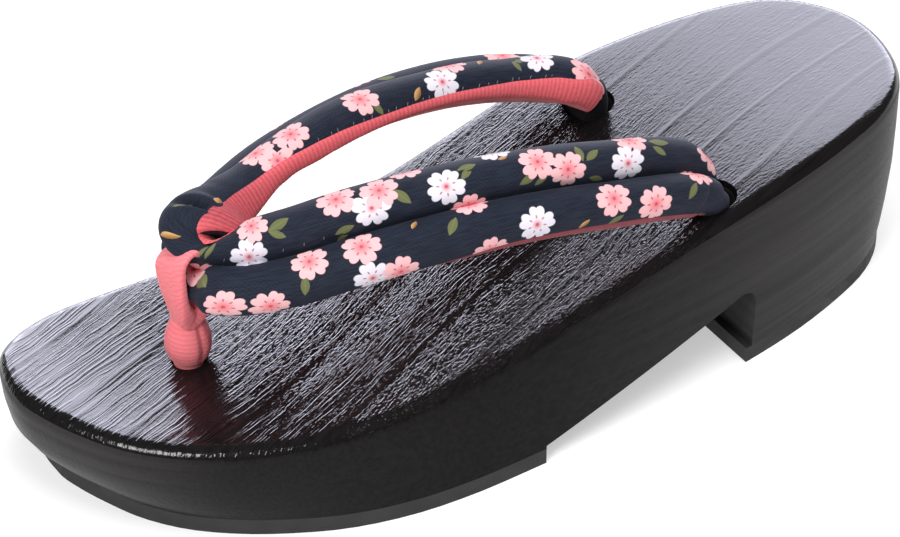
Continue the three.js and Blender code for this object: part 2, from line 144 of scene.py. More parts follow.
class Graph:
    """Node tree of one material."""

    def __init__(self, name: str) -> None:
        """Start an empty tree.

        Args:
            name: the material's name.
        """
        self.material = bpy.data.materials.new(name)
        self.material.use_nodes = True
        self.material.node_tree.nodes.clear()

    def add(
        self, kind: str, inputs: dict | Sequence = (), out: int | str = 0, **settings: object
    ) -> Socket | bpy.types.Node:
        """Add a node with its settings and links.

        Args:
            kind: the node's type, without its ShaderNode prefix.
            inputs: a value or a socket for each input, by place or by name.
            out: the output to give back.
            settings: the node's own properties.

        Returns:
            The output socket, or the node where it has none.
        """
        tree = self.material.node_tree
        node = tree.nodes.new("ShaderNode" + kind)
        for key, value in settings.items():
            setattr(node, key, value)
        pairs = inputs.items() if isinstance(inputs, dict) else enumerate(inputs)
        for key, value in pairs:
            if isinstance(value, bpy.types.NodeSocket):
                tree.links.new(value, node.inputs[key])
            else:
                node.inputs[key].default_value = value
        return node.outputs[out] if len(node.outputs) else node

    def calc(self, operation: str, *values: Number) -> Socket:
        """Work out one number from others."""
        return self.add("Math", values, operation=operation)

    def scaled(self, vector: Socket, factors: Sequence[float]) -> Socket:
        """Multiply a vector by a factor for each axis."""
        return self.add("VectorMath", [vector, factors], operation="MULTIPLY")

    def moved(self, vector: Socket, by: Socket) -> Socket:
        """Add a second vector to a vector."""
        return self.add("VectorMath", [vector, by], operation="ADD")

    def turned(self, vector: Socket, degrees: float) -> Socket:
        """Turn a vector about the upright axis."""
        inputs = {"Vector": vector, "Angle": math.radians(degrees)}
        return self.add("VectorRotate", inputs, rotation_type="Z_AXIS")

    def split(self, vector: Socket) -> list[Socket]:
        """Take a vector apart into its three numbers."""
        return list(self.add("SeparateXYZ", [vector]).node.outputs)

    def length(self, x: Socket, y: Socket) -> Socket:
        """Measure a flat vector."""
        flat = self.add("CombineXYZ", [x, y, 0.0])
        return self.add("VectorMath", [flat], out="Value", operation="LENGTH")

    def carried(self, name: str) -> Socket:
        """Read the coordinates that a mesh carries under a name."""
        return self.add("Attribute", out="Vector", attribute_name=name)

    def noise(
        self, vector: Socket, factors: Sequence[float], detail: float, rough: float = 0.5, out: int | str = 0
    ) -> Socket:
        """Read a noise.

        Args:
            vector: where to read it.
            factors: how close its lumps lie along each axis.
            detail: how many finer layers it has.
            rough: how strong the finer layers are.
            out: the output to give back.

        Returns:
            The noise.
        """
        inputs = {"Vector": self.scaled(vector, factors), "Scale": 1.0, "Detail": detail, "Roughness": rough}
        return self.add("TexNoise", inputs, out=out)

    def ranged(self, value: Socket, low: float, high: float, start: float = 0.0, end: float = 1.0) -> Socket:
        """Carry a number from one range over to another in a straight line."""
        return self.add("MapRange", [value, low, high, start, end])

    def eased(self, value: Socket, low: float, high: float, start: Number = 0.0, end: float = 1.0) -> Socket:
        """Carry a number from one range over to another in a smooth rise."""
        return self.add("MapRange", [value, low, high, start, end], interpolation_type="SMOOTHSTEP")

    def mix(self, share: Socket, below: Socket | str, above: Socket | str) -> Socket:
        """Mix two colours, each a socket or an sRGB hex value."""
        pair = [colour(tone) if isinstance(tone, str) else tone for tone in (below, above)]
        return self.add("Mix", {0: share, 6: pair[0], 7: pair[1]}, out=2, data_type="RGBA")

    def ramp(self, value: Socket, ends: Sequence[float], stops: Sequence[Sequence[float]]) -> Socket:
        """Read a grey on a ramp.

        Args:
            value: where to read it.
            ends: the greys at 0 and at 1.
            stops: the place and the grey of each stop between them.

        Returns:
            The grey.
        """
        ramp = self.add("ValToRGB", [value])
        elements = ramp.node.color_ramp.elements
        for i, grey in enumerate(ends):
            elements[i].color = (grey, grey, grey, 1.0)
        for place, grey in stops:
            elements.new(place).color = (grey, grey, grey, 1.0)
        return ramp

    def bump(self, height: Socket, strength: float, distance: float) -> Socket:
        """Turn a height into a normal."""
        return self.add("Bump", {"Height": height, "Strength": strength, "Distance": distance})

    def surface(self, inputs: dict) -> bpy.types.Material:
        """End the tree in one shader with these inputs."""
        self.add("OutputMaterial", [self.add("BsdfPrincipled", inputs)])
        return self.material


@dataclass(frozen=True)
class BrushedLacquer:
    """Black lacquer on wire-brushed paulownia, with its hard lines left proud and glossy."""

    black: str = "0c0a0b"
    worn: str = "171516"
    end_light: str = "3c3a3b"
    # Degrees that the grain and the heel's ripples run aslant of the sandal's length
    slant: float = 18.0
    ripple_slant: float = 5.0
    line_mm: float = 0.62
    run_mm: float = 42.0
    # Length and width of one pit and of one ripple
    pit_mm: tuple[float, float] = (1.3, 0.45)
    ripple_mm: tuple[float, float] = (2.4, 0.6)
    # Depths at the middle and at the toe, and the share of them that is left at the heel
    line_deep: tuple[float, float] = (0.062, 0.056)
    pit_deep: tuple[float, float] = (0.085, 0.012)
    line_left: float = 0.22
    pit_left: float = 0.15
    ripple_deep: float = 0.045
    # Growth rings: distance across the grain and half width of each hard polished line
    rings: tuple[tuple[float, float], ...] = (
        (-61.0, 1.1), (-40.0, 1.0), (-23.0, 0.8), (-6.0, 1.0), (15.2, 1.0), (28.3, 0.8), (41.0, 0.9),
    )
    ring_span: tuple[float, float] = (-80.0, 60.0)
    ring_rise: float = 0.08

    @staticmethod
    def wander(
        g: Graph, at: Socket, factors: Sequence[float], detail: float, reach: Sequence[float]
    ) -> Socket:
        """Work out how far the grain strays from a straight line.

        Args:
            g: the tree.
            at: where to read it.
            factors: how close the bends lie.
            detail: how many finer bends there are.
            reach: how far they go along each axis.

        Returns:
            The shift.
        """
        bend = g.noise(at, factors, detail, out="Color")
        bend = g.add("VectorMath", [bend, (0.5, 0.5, 0.5)], operation="SUBTRACT")
        return g.scaled(bend, reach)

    @staticmethod
    def dashes(size: tuple[float, float]) -> tuple[float, float, float]:
        """Noise factors for marks of a length and a width."""
        return (1 / size[0], 1 / size[1], 1 / size[1])

    def material(self, wall: bool) -> bpy.types.Material:
        """Build the lacquer.

        Args:
            wall: True for the sanded wall, False for the brushed top.

        Returns:
            The material.
        """
        g = Graph("satin_lacquered_wall" if wall else "brushed_lacquered_top")
        mm = g.scaled(g.add("TexCoord", out="Object"), (1000.0, 1000.0, 1000.0))
        turned = g.turned(mm, -self.slant)
        # Slow wander of the grain, and a closer waviness
        slow = self.wander(g, turned, (1 / 80, 1 / 26, 1 / 30), 0.0, (0.0, 9.0, 5.0))
        wavy = self.wander(g, turned, (1 / 9, 1 / 5, 1 / 6), 1.0, (0.0, 1.7, 1.2))
        bent = g.moved(turned, slow)
        drawn = g.moved(bent, wavy)
        # Hard grain lines, pits of the open pores, and short ripples across the heel
        fine = (1 / self.run_mm, 1 / self.line_mm, 1 / (2.2 * self.line_mm))
        lines = g.noise(drawn, fine, 1.5)
        pits = g.noise(drawn, self.dashes(self.pit_mm), 1.5, 0.6)
        aslant = g.moved(g.turned(mm, -self.ripple_slant), wavy)
        ripples = g.noise(aslant, self.dashes(self.ripple_mm), 1.5)
        # How deep each lies along the sandal, in millimetres
        x = g.split(mm)[0]
        heel = g.eased(x, -20.0, -58.0)
        toe = g.eased(x, 62.0, 88.0)
        patch = g.noise(drawn, (1 / 60, 1 / 15, 1 / 30), 1.0)
        patch = g.eased(patch, 0.4, 0.6, 0.4, 1.0)
        line_deep = g.ranged(toe, 0.0, 1.0, *self.line_deep)
        line_deep = g.calc("MULTIPLY", line_deep, g.ranged(heel, 0.0, 1.0, 1.0, self.line_left))
        pit_deep = g.ranged(toe, 0.0, 1.0, *self.pit_deep)
        pit_deep = g.calc("MULTIPLY", pit_deep, g.ranged(heel, 0.0, 1.0, 1.0, self.pit_left))
        pit_deep = g.calc("MULTIPLY", pit_deep, patch)
        ripple_deep = g.calc("MULTIPLY", heel, self.ripple_deep)
        relief = g.calc("MULTIPLY", g.eased(lines, 0.44, 0.68), line_deep)
        relief = g.calc("MULTIPLY_ADD", g.eased(pits, 0.46, 0.7), pit_deep, relief)
        relief = g.calc("MULTIPLY_ADD", ripples, ripple_deep, relief)
        # Growth rings stand a little proud and are polished smooth
        low, high = self.ring_span
        stops = [
            ((place + share * half - low) / (high - low), grey)
            for place, half in self.rings
            for share, grey in ((-1.0, 0.0), (0.0, 1.0), (1.6, 0.0))
        ]
        ring = g.ramp(g.ranged(g.split(bent)[1], low, high), (0.0, 0.0), stops)
        height = g.calc("MULTIPLY", relief, g.ranged(ring, 0.0, 1.0, 1.0, 0.12))
        height = g.calc("MULTIPLY_ADD", ring, self.ring_rise, height)
        # The rounded edge carries the brushing over into the sanded wall
        up = g.split(g.add("NewGeometry", out="Normal"))[2]
        least = g.ranged(x, 30.0, 85.0, 0.14, 0.42)
        height = g.calc("MULTIPLY", height, g.eased(up, 0.3, 0.85, least, 1.0))
        bump = g.bump(height, 1.0, MM)
        paint = g.mix(g.ranged(lines, 0.3, 0.7), self.worn, self.black)
        if wall:
            # Painted light: the ends of the wall, where light falls on them, are painted greyer in faint
            # lengthwise streaks
            tip = g.eased(x, 84.0, 112.0, 0.0, 0.6)
            back = g.eased(x, 20.0, -90.0, 0.0, 0.9)
            streak = g.noise(mm, (1 / 70, 1 / 70, 1 / 2.2), 2.0)
            streak = g.ranged(streak, 0.3, 0.7, 0.6, 1.2)
            end_light = g.calc("MULTIPLY", g.calc("MAXIMUM", tip, back), streak)
            paint = g.mix(end_light, paint, self.end_light)
            gloss = g.ranged(x, 30.0, 85.0, 0.0, 0.14)
        else:
            gloss = g.ranged(x, -60.0, 70.0, 0.16, 0.42)
        spread = (0.34, 0.46) if wall else (0.12, 0.2)
        return g.surface(
            {
                "Base Color": paint,
                "Roughness": g.ranged(pits, 0.3, 0.7, *spread),
                "Normal": bump,
                "IOR": 1.5,
                "Specular IOR Level": 0.06 if wall else 0.18,
                "Coat Weight": gloss,
                "Coat Roughness": 0.16 if wall else 0.06,
                "Coat Normal": bump,
            }
        )


@dataclass(frozen=True)
class SpongeRubber:
    """Moulded black sponge rubber: matt, with a fine closed-cell grain."""

    black: str = "1f1f21"
    scuffed: str = "2b2b2d"
    cell_mm: float = 0.8

    def material(self) -> bpy.types.Material:
        """Build the rubber.

        Returns:
            The material.
        """
        g = Graph("black_sponge_rubber")
        at = g.add("TexCoord", out="Object")
        cell_at = g.scaled(at, (1000 / self.cell_mm,) * 3)
        cells = g.add("TexVoronoi", {"Vector": cell_at, "Scale": 1.0})
        scuff = g.noise(at, (90.0, 240.0, 240.0), 3.0)
        return g.surface(
            {
                "Base Color": g.mix(scuff, self.black, self.scuffed),
                "Roughness": g.ranged(scuff, 0.3, 0.7, 0.62, 0.82),
                "Normal": g.bump(cells, 0.25, 0.0002),
                "IOR": 1.5,
            }
        )


@dataclass(frozen=True)
class PrintedCotton:
    """Navy cotton lawn with a cherry-blossom print: matt, plain weave, soft sheen at the edge."""

    navy: str = "1b1f2b"
    navy_light: str = "262b38"
    tail_shade: str = "0a0a0c"
    pink_rim: str = "ecb6ba"
    pink_heart: str = "e87f88"
    white_rim: str = "ded9e4"
    white_heart: str = "dc8f98"
    stamen: str = "b23a48"
    leaf: str = "666a46"
    midrib: str = "70744e"
    bud_light: str = "c39c68"
    bud_shade: str = "8f6238"
    sheen: str = "b9bccb"
    # Threads lie 0.3 mm apart, drawn at 0.55 mm so that the weave shows
    thread_mm: float = 0.55
    petals: int = 5
    stamens: int = 7
    # Outline of half a petal: share of the way from its notched tip to the next petal, and reach
    petal: tuple[tuple[float, float], ...] = (
        (0.0, 0.88), (0.12, 0.94), (0.26, 0.99), (0.42, 1.0), (0.58, 0.97), (0.74, 0.89), (0.88, 0.77),
        (1.0, 0.62),
    )

    def blossom(self, g: Graph, layer: str, below: Socket) -> Socket:
        """Draw one layer of five-petalled blossoms.

        Args:
            g: the tree.
            layer: the attribute with each blossom's own coordinates and kind.
            below: the colour under the layer.

        Returns:
            The colour with the blossoms on it.
        """
        x, y, kind = g.split(g.carried(layer))
        far = g.length(x, y)
        angle = g.calc("ARCTAN2", y, x)
        # Petals, each with a notch at its tip
        turn = g.calc("MULTIPLY_ADD", angle, self.petals / (2 * math.pi), 0.5)
        share = g.calc("SUBTRACT", g.calc("FRACT", turn), 0.5)
        fold = g.calc("MULTIPLY", g.calc("ABSOLUTE", share), 2.0)
        ends = (self.petal[0][1], self.petal[-1][1])
        reach = g.calc("SUBTRACT", g.ramp(fold, ends, self.petal[1:-1]), far)
        present = g.calc("GREATER_THAN", kind, 0.5)
        petal = g.calc("MULTIPLY", g.ranged(reach, -0.03, 0.03), present)
        # Deeper heart, pale rim
        heart = g.eased(far, 0.05, 0.62, 1.0, 0.0)
        glow = g.eased(far, 0.05, 0.36, 1.0, 0.0)
        pink = g.mix(heart, self.pink_rim, self.pink_heart)
        pale = g.mix(glow, self.white_rim, self.white_heart)
        petals = g.mix(g.calc("GREATER_THAN", kind, 1.5), pink, pale)
        # Stamens, short strokes round a dot
        spoke = g.calc("MULTIPLY_ADD", angle, self.stamens / (2 * math.pi), 0.25)
        spoke = g.calc("SUBTRACT", g.calc("FRACT", spoke), 0.5)
        wide = g.calc("MULTIPLY", g.calc("MULTIPLY", spoke, far), 0.9)
        wide = g.calc("DIVIDE", wide, 0.048)
        deep = g.calc("DIVIDE", g.calc("SUBTRACT", far, 0.43), 0.1)
        stroke = g.ranged(g.length(wide, deep), 0.8, 1.15, 1.0, 0.0)
        dot = g.ranged(far, 0.07, 0.12, 1.0, 0.0)
        mark = g.calc("MULTIPLY", g.calc("MAXIMUM", stroke, dot), 0.72)
        return g.mix(petal, below, g.mix(mark, petals, self.stamen))

    def material(self) -> bpy.types.Material:
        """Build the printed cotton.

        Returns:
            The material.
        """
        g = Graph("printed_navy_cotton")
        cloth = g.carried("cloth_mm")
        over, under, _ = g.split(g.scaled(cloth, (math.pi / self.thread_mm,) * 3))
        weave = g.calc("MULTIPLY", g.calc("SINE", over), g.calc("SINE", under))
        slub = g.noise(cloth, (0.22, 2.4, 0.0), 3.0)
        uneven = g.calc("MULTIPLY_ADD", weave, 0.3, g.ranged(slub, 0.36, 0.64))
        ground = g.mix(uneven, self.navy, self.navy_light)
        # Painted shade: the strap's end, where it goes down the right rear hole, is painted near black as the
        # hole's shadow
        ground = g.mix(g.ranged(g.split(cloth)[0], 122.5, 124.5), ground, self.tail_shade)
        # Olive leaves with a paler midrib, and small gold buds
        x, y, kind = g.split(g.carried("sprig"))
        room = g.calc("MULTIPLY_ADD", g.calc("MULTIPLY", x, x), -1.0, 1.0)
        wide = g.calc("ABSOLUTE", y)
        inside = g.calc("SUBTRACT", g.calc("MULTIPLY", room, 0.42), wide)
        present = g.calc("GREATER_THAN", kind, 0.5)
        blade = g.calc("MULTIPLY", g.ranged(inside, -0.03, 0.03), present)
        leaf = g.mix(g.ranged(wide, 0.02, 0.07, 1.0, 0.0), self.leaf, self.midrib)
        bud = g.mix(g.ranged(y, -0.25, 0.25), self.bud_light, self.bud_shade)
        sprig = g.mix(g.calc("GREATER_THAN", kind, 1.5), leaf, bud)
        shown = g.mix(blade, ground, sprig)
        for layer in ("blossom_behind", "blossom_front"):
            shown = self.blossom(g, layer, shown)
        height = g.calc("ADD", slub, g.calc("MULTIPLY", weave, 0.3))
        return g.surface(
            {
                "Base Color": shown,
                "Roughness": 0.78,
                "Normal": g.bump(height, 0.35, 0.00012),
                "IOR": 1.45,
                "Specular IOR Level": 0.18,
                "Sheen Weight": 0.07,
                "Sheen Roughness": 0.45,
                "Sheen Tint": colour(self.sheen),
            }
        )


@dataclass(frozen=True)
class RibbedCloth:
    """Coral corded cotton: raised ribs with a soft nap that pales towards the edge of the form."""

    name: str = "coral_ribbed_cotton"
    coral: str = "f8868e"
    valley_shade: str = "e05864"
    nap: str = "ffb9b6"

    def material(self) -> bpy.types.Material:
        """Build the ribbed cloth.

        Returns:
            The material.
        """
        g = Graph(self.name)
        cloth = g.carried("cloth_mm")
        fuzz = g.noise(cloth, (1.6, 1.6, 0.0), 4.0, 0.65)
        # Painted shade: the colour darkens towards the valley colour in the grooves between the ribs, and on
        # the lining where its mesh marks painted shade
        tone = g.calc("MULTIPLY_ADD", g.split(cloth)[2], 0.45, fuzz)
        return g.surface(
            {
                "Base Color": g.mix(g.ranged(tone, -0.4, 1.0), self.valley_shade, self.coral),
                "Roughness": 0.85,
                "Normal": g.bump(fuzz, 0.35, 0.00025),
                "IOR": 1.45,
                "Sheen Weight": 0.5,
                "Sheen Roughness": 0.4,
                "Sheen Tint": colour(self.nap),
            }
        )


@dataclass(frozen=True)
class SewingThread:
    """Twisted polyester sewing thread: fine and grey, with a slight lustre along the twist."""

    name: str = "pale_sewing_thread"
    dye: str = "605e6c"
    lustre: str = "908c98"

    def material(self) -> bpy.types.Material:
        """Build the thread.

        Returns:
            The material.
        """
        g = Graph(self.name)
        twist = g.add("TexNoise", {"Vector": g.add("TexCoord", out="Object"), "Scale": 2600.0, "Detail": 1.0})
        tone = g.mix(twist, self.dye, self.lustre)
        return g.surface({"Base Color": tone, "Roughness": 0.5, "Sheen Weight": 0.2})


def walked(points: Sequence[Vector]) -> list[float]:
    """Measure the way along a line of points.

    Args:
        points: the line.

    Returns:
        The length walked at each point, 0 at the first.
    """
    lengths = [0.0]
    for a, b in zip(points, points[1:]):
        lengths.append(lengths[-1] + (b - a).length)
    return lengths


def mesh_of(bm: bmesh.types.BMesh, name: str) -> bpy.types.Mesh:
    """Turn a bmesh into a mesh and free it.

    Args:
        bm: the bmesh.
        name: the mesh's name.

    Returns:
        The mesh.
    """
    mesh = bpy.data.meshes.new(name)
    bm.to_mesh(mesh)
    bm.free()
    return mesh


def into_scene(name: str, data: bpy.types.ID) -> bpy.types.Object:
    """Put a mesh, light or camera into the scene.

    Args:
        name: the object's name.
        data: what it shows.

    Returns:
        The object.
    """
    thing = bpy.data.objects.new(name, data)
    bpy.context.scene.collection.objects.link(thing)
    return thing


def finish_piece(
    bm: bmesh.types.BMesh, name: str, material: bpy.types.Material, sharp: float
) -> bpy.types.Object:
    """Turn a bmesh in millimetres of the base's own drawing into a piece of the object.

    Args:
        bm: the mesh, which is freed.
        name: the piece's name.
        material: its finish.
        sharp: edges over this angle in degrees stay sharp.

    Returns:
        The piece, riding on the sandal.
    """
    bmesh.ops.translate(bm, vec=-CENTRE, verts=bm.verts)
    bmesh.ops.scale(bm, vec=(MM, MM, MM), verts=bm.verts)
    mesh = mesh_of(bm, name)
    mesh.shade_smooth()
    mesh.set_sharp_from_angle(angle=math.radians(sharp))
    mesh.materials.append(material)
    piece = into_scene(name, mesh)
    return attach(piece, BODY)


def grid_lines(bm: bmesh.types.BMesh, steps: int, across: int) -> dict[int, list[bmesh.types.BMVert]]:
    """Make a grid two units wide and sort its vertices in lines.

    Args:
        bm: the mesh that it goes into.
        steps: faces along the piece.
        across: faces across it.

    Returns:
        The vertices of each line across the piece.
    """
    made = bmesh.ops.create_grid(bm, x_segments=steps, y_segments=across, size=1.0)["verts"]
    lines: dict[int, list[bmesh.types.BMVert]] = {}
    for vert in made:
        lines.setdefault(round((vert.co.x + 1) / 2 * steps), []).append(vert)
    return lines


def write_cloth(bm: bmesh.types.BMesh, own: dict) -> None:
    """Write each vertex's place on the cloth into the mesh.

    Args:
        bm: the mesh.
        own: place along and across the cloth, and the rib's height, lowered where shade is painted.
    """
    layer = bm.loops.layers.float_vector.new("cloth_mm")
    for face in bm.faces:
        for loop in face.loops:
            loop[layer] = own[loop.vert]


def close_tube(bm: bmesh.types.BMesh) -> None:
    """Join a tube's seam and close its ends.

    Args:
        bm: the mesh.
    """
    bmesh.ops.remove_doubles(bm, verts=bm.verts, dist=SEAM)
    bmesh.ops.holes_fill(bm, edges=[e for e in bm.edges if e.is_boundary], sides=0)
    bmesh.ops.recalc_face_normals(bm, faces=bm.faces)


@dataclass
class Base:
    """Wooden base: foot-shaped top, rounded edge, flared wall, arch and three strap holes."""

    toe: tuple[float, float] = (118.6, -21.0)
    heel: tuple[float, float] = (-118.4, -12.8)
    rubber: float = 4.2
    edge_radius: float = 3.6
    side_inset: float = 0.4
    heel_side_inset: float = 0.7
    toe_undercut: float = 9.8
    heel_undercut: float = 3.9
    arch_front: float = 10.8
    arch_back: float = -52.5
    arch_low: float = 5.1
    arch_rise: float = 18.6
    arch_fillet: float = 8.0
    front_hole: tuple[float, float] = (78.3, -10.5)
    front_radius: float = 4.1
    front_recess: tuple[float, float] = (9.0, 12.5)
    rear_hole_x: float = -42.4
    rear_middle: float = 0.65
    rear_half: float = 23.65
    rear_skew: float = 1.3
    rear_slant: float = 0.14
    rear_radius: float = 5.8
    rear_recess: tuple[float, float] = (7.4, 20.6)
    rim: float = 0.3
    around: int = 320
    bore_around: int = 64
    # How far the cutters reach above the top and below the soles, and down the slanted holes
    clear: float = 6.0
    below: float = -5.0
    through: float = 45.0
    # Faces that look up more than this take the brushed lacquer, the others the sanded one
    top_facing: float = 0.35
    # Height and flare of each ring of the wall, as shares of the whole
    wall_rings: tuple[tuple[float, float], ...] = (
        (0, 0), (0.12, 0.27), (0.25, 0.5), (0.5, 0.82), (0.75, 0.94), (1, 1),
    )
    rows: list[Row] = field(default_factory=list)
    plan: dict[float, tuple[Vector, Vector, Vector]] = field(default_factory=dict)

    def __post_init__(self) -> None:
        """Give the outline's table its places along the base."""
        measured = table(
            "x left right top",
            (
                (117.2, -13.2, -29.6, 27.2), (114, -4.6, -36.9, 27), (109, 4.8, -41.3, 26.7),
                (102, 13.3, -44.4, 26.4), (93, 20.8, -45.7, 26.5), (80, 28.5, -44.9, 27.2),
                (65, 34.6, -42.4, 28.9), (48, 38.2, -39.4, 31.5), (30, 39.3, -37, 34.8),
                (10, 38.8, -36.2, 38.6), (-10, 37.6, -38, 42.3), (-30, 35.9, -40.6, 45.6),
                (-50, 33.5, -41.9, 48), (-70, 29.6, -41.4, 49.3), (-87, 24.4, -40.1, 49.5),
                (-99, 19.2, -37.9, 49.2), (-108, 12.4, -33.3, 48.8), (-114.4, 3.6, -26.1, 48.4),
                (-117.4, -4.8, -19.6, 48.2),
            ),
        )
        for row in measured:
            row["t"] = math.acos((row["x"] - self.middle) / self.reach)
        first = {**measured[0], "t": 0.0, "left": self.toe[1], "right": self.toe[1]}
        last = {**measured[-1], "t": math.pi, "left": self.heel[1], "right": self.heel[1]}
        self.rows = [first, *measured, last]

    @property
    def middle(self) -> float:
        """Middle of the base's length."""
        return (self.toe[0] + self.heel[0]) / 2

    @property
    def reach(self) -> float:
        """Half the base's length."""
        return (self.toe[0] - self.heel[0]) / 2

    def top_at(self, x: float) -> float:
        """Height of the top face at a distance along the base."""
        share = min(max((x - self.middle) / self.reach, -1.0), 1.0)
        return along(self.rows, "top", math.acos(share))

    def edge(self, turn: float) -> Vector:
        """Read the outline.

        Args:
            turn: angle round the base, 0 at the toe and positive on the left.

        Returns:
            The outline's point in plan.
        """
        t = min(abs(turn), math.pi)
        side = "left" if turn >= 0 else "right"
        return Vector((self.middle + self.reach * math.cos(t), along(self.rows, side, t)))

    def outward(self, turn: float) -> Vector:
        """Read which way the outline faces.

        Args:
            turn: angle round the base.

        Returns:
            The outward direction in plan.
        """
        step = math.pi / 128
        way = self.edge(self.wrapped(turn + step)) - self.edge(self.wrapped(turn - step))
        return Vector((way.y, -way.x)).normalized()

    @staticmethod
    def wrapped(angle: float) -> float:
        """Bring an angle to within half a turn either way."""
        return (angle + math.pi) % (2 * math.pi) - math.pi

    def sole_inset(self, facing: Vector, x: float) -> float:
        """Distance of the wall's foot inside the outline.

        Args:
            facing: the way the outline faces.
            x: distance along the base.

        Returns:
            The inset.
        """
        heelward = ease(-x, -10, 60)
        side = self.side_inset + (self.heel_side_inset - self.side_inset) * heelward
        end = self.toe_undercut if facing.x > 0 else self.heel_undercut
        return side + (end - side) * abs(facing.x) ** (1.6 if facing.x > 0 else 1.0)

    def rear_axis(self, side: int, drop: float) -> Vector:
        """Point on a rear hole's axis.

        Args:
            side: 1 for the left hole, -1 for the right.
            drop: depth below the top face.

        Returns:
            The point.
        """
        x = self.rear_hole_x - side * self.rear_skew + self.rear_slant * drop
        y = self.rear_middle + side * self.rear_half
        return Vector((x, y, self.top_at(self.rear_hole_x) - drop))

    def wall_point(self, angle: float, rise: float, flare: float) -> Vector:
        """Point of the flared wall.

        Args:
            angle: angle round the base.
            rise: share of the wall's height.
            flare: share of the way from the wall's foot out to the outline.

        Returns:
            The point.
        """
        edge, _, foot = self.plan[round(angle, 5)]
        point = foot.lerp(edge, flare)
        top = self.top_at(point.x) - self.edge_radius
        return Vector((point.x, point.y, self.rubber + (top - self.rubber) * rise))

    def top_point(self, angle: float, lift: float, squeeze: float = 1.0) -> Vector:
        """Point of the rounded edge or the top.

        Args:
            angle: angle round the base.
            lift: degrees up the rounded edge.
            squeeze: 1 at the edge, 0 on the middle line.

        Returns:
            The point.
        """
        up = math.radians(lift)
        edge, facing, _ = self.plan[round(angle, 5)]
        other_edge, other_facing, _ = self.plan[round(self.mirrored(angle), 5)]
        point = edge - facing * self.edge_radius * (1 - math.cos(up))
        other = other_edge - other_facing * self.edge_radius * (1 - math.cos(up))
        point = other.lerp(point, 0.5 + squeeze / 2)
        drop = self.edge_radius * (1 - math.sin(up))
        return Vector((point.x, point.y, self.top_at(point.x) - drop))

    def foot_point(self, angle: float, squeeze: float) -> Vector:
        """Point of the underside.

        Args:
            angle: angle round the base.
            squeeze: 1 at the wall's foot, 0 on the middle line.

        Returns:
            The point.
        """
        point = self.plan[round(angle, 5)][2]
        other = self.plan[round(self.mirrored(angle), 5)][2]
        point = other.lerp(point, 0.5 + squeeze / 2)
        return Vector((point.x, point.y, self.rubber))

    def block(self) -> bmesh.types.BMesh:
        """Model the block before anything is cut.

        Returns:
            The block, in the base's own drawing.
        """
        bm = bmesh.new()
        turn = bm.verts.layers.float.new("turn")
        ring = bmesh.ops.create_circle(bm, segments=self.around, radius=1.0)["verts"]
        for vert in ring:
            vert[turn] = math.atan2(vert.co.y, vert.co.x)
            edge = self.edge(vert[turn])
            facing = self.outward(vert[turn])
            foot = edge - facing * self.sole_inset(facing, edge.x)
            self.plan[round(vert[turn], 5)] = (edge, facing, foot)
        rings = [partial(self.foot_point, squeeze=squeeze) for squeeze in (0.0, 0.5)]
        rings += [partial(self.wall_point, rise=rise, flare=flare) for rise, flare in self.wall_rings]
        rings += [partial(self.top_point, lift=lift) for lift in (12, 25, 38, 50, 62, 74, 83, 90)]
        rings += [partial(self.top_point, lift=90, squeeze=s) for s in (0.8, 0.6, 0.4, 0.2, 0.0)]
        edges = list({edge for vert in ring for edge in vert.link_edges})
        for vert in ring:
            vert.co = rings[0](vert[turn])
        for place in rings[1:]:
            made = bmesh.ops.extrude_edge_only(bm, edges=edges)["geom"]
            edges = [item for item in made if isinstance(item, bmesh.types.BMEdge)]
            for vert in (item for item in made if isinstance(item, bmesh.types.BMVert)):
                vert.co = place(vert[turn])
        bmesh.ops.remove_doubles(bm, verts=bm.verts, dist=0.002)
        bmesh.ops.dissolve_degenerate(bm, edges=bm.edges, dist=0.002)
        bmesh.ops.recalc_face_normals(bm, faces=bm.faces)
        return bm

    @staticmethod
    def mirrored(angle: float) -> float:
        """The angle across the base, with the two tips kept."""
        return angle if abs(abs(angle) - math.pi) < 1e-4 else -angle

    def arch(self) -> bmesh.types.BMesh:
        """Model what is cut out under the instep: a slope, a fillet and the heel's front face.

        Returns:
            The cutter.
        """
        bm = bmesh.new()
        peak = self.arch_low + self.arch_rise
        corners = (
            (self.arch_front, self.below), (self.arch_front, self.arch_low), (self.arch_back, peak),
            (self.arch_back, self.below),
        )
        verts = [bm.verts.new((x, -80.0, z)) for x, z in corners]
        bm.faces.new(verts)
        crest = verts[2]
        turn = math.pi / 2 - math.atan2(self.arch_rise, self.arch_front - self.arch_back)
        bmesh.ops.bevel(
            bm,
            geom=[crest],
            offset=self.arch_fillet * math.tan(turn / 2),
            offset_type="OFFSET",
            affect="VERTICES",
            segments=14,
            profile=0.5,
            material=-1,
        )
        made = bmesh.ops.extrude_face_region(bm, geom=bm.faces[:])["geom"]
        moved = [item for item in made if isinstance(item, bmesh.types.BMVert)]
        bmesh.ops.translate(bm, vec=(0, 160, 0), verts=moved)
        bmesh.ops.recalc_face_normals(bm, faces=bm.faces)
        return bm

    def bore(self, points: Sequence[Vector], radii: Sequence[float]) -> bmesh.types.BMesh:
        """Model a round cutter through points on one axis.

        Args:
            points: the axis, from one end to the other.
            radii: the radius at each point.

        Returns:
            The cutter.
        """
        bm = bmesh.new()
        ring = bmesh.ops.create_circle(bm, cap_ends=True, segments=self.bore_around, radius=1.0)["verts"]
        faces = bm.faces[:]
        level = [vert.co.copy() for vert in ring]
        for vert, unit in zip(ring, level):
            vert.co = points[0] + unit * radii[0]
        for i, (point, radius) in enumerate(zip(points[1:], radii[1:])):
            made = bmesh.ops.extrude_face_region(bm, geom=faces)["geom"]
            # Only the first face stays, as the cutter's own end
            if i:
                bmesh.ops.delete(bm, geom=faces, context="FACES_ONLY")
            faces = [item for item in made if isinstance(item, bmesh.types.BMFace)]
            verts = [item for item in made if isinstance(item, bmesh.types.BMVert)]
            middle = sum((vert.co for vert in verts), Vector()) / len(verts)
            for vert in verts:
                vert.co = point + (vert.co - middle).normalized() * radius
        bmesh.ops.recalc_face_normals(bm, faces=bm.faces)
        return bm

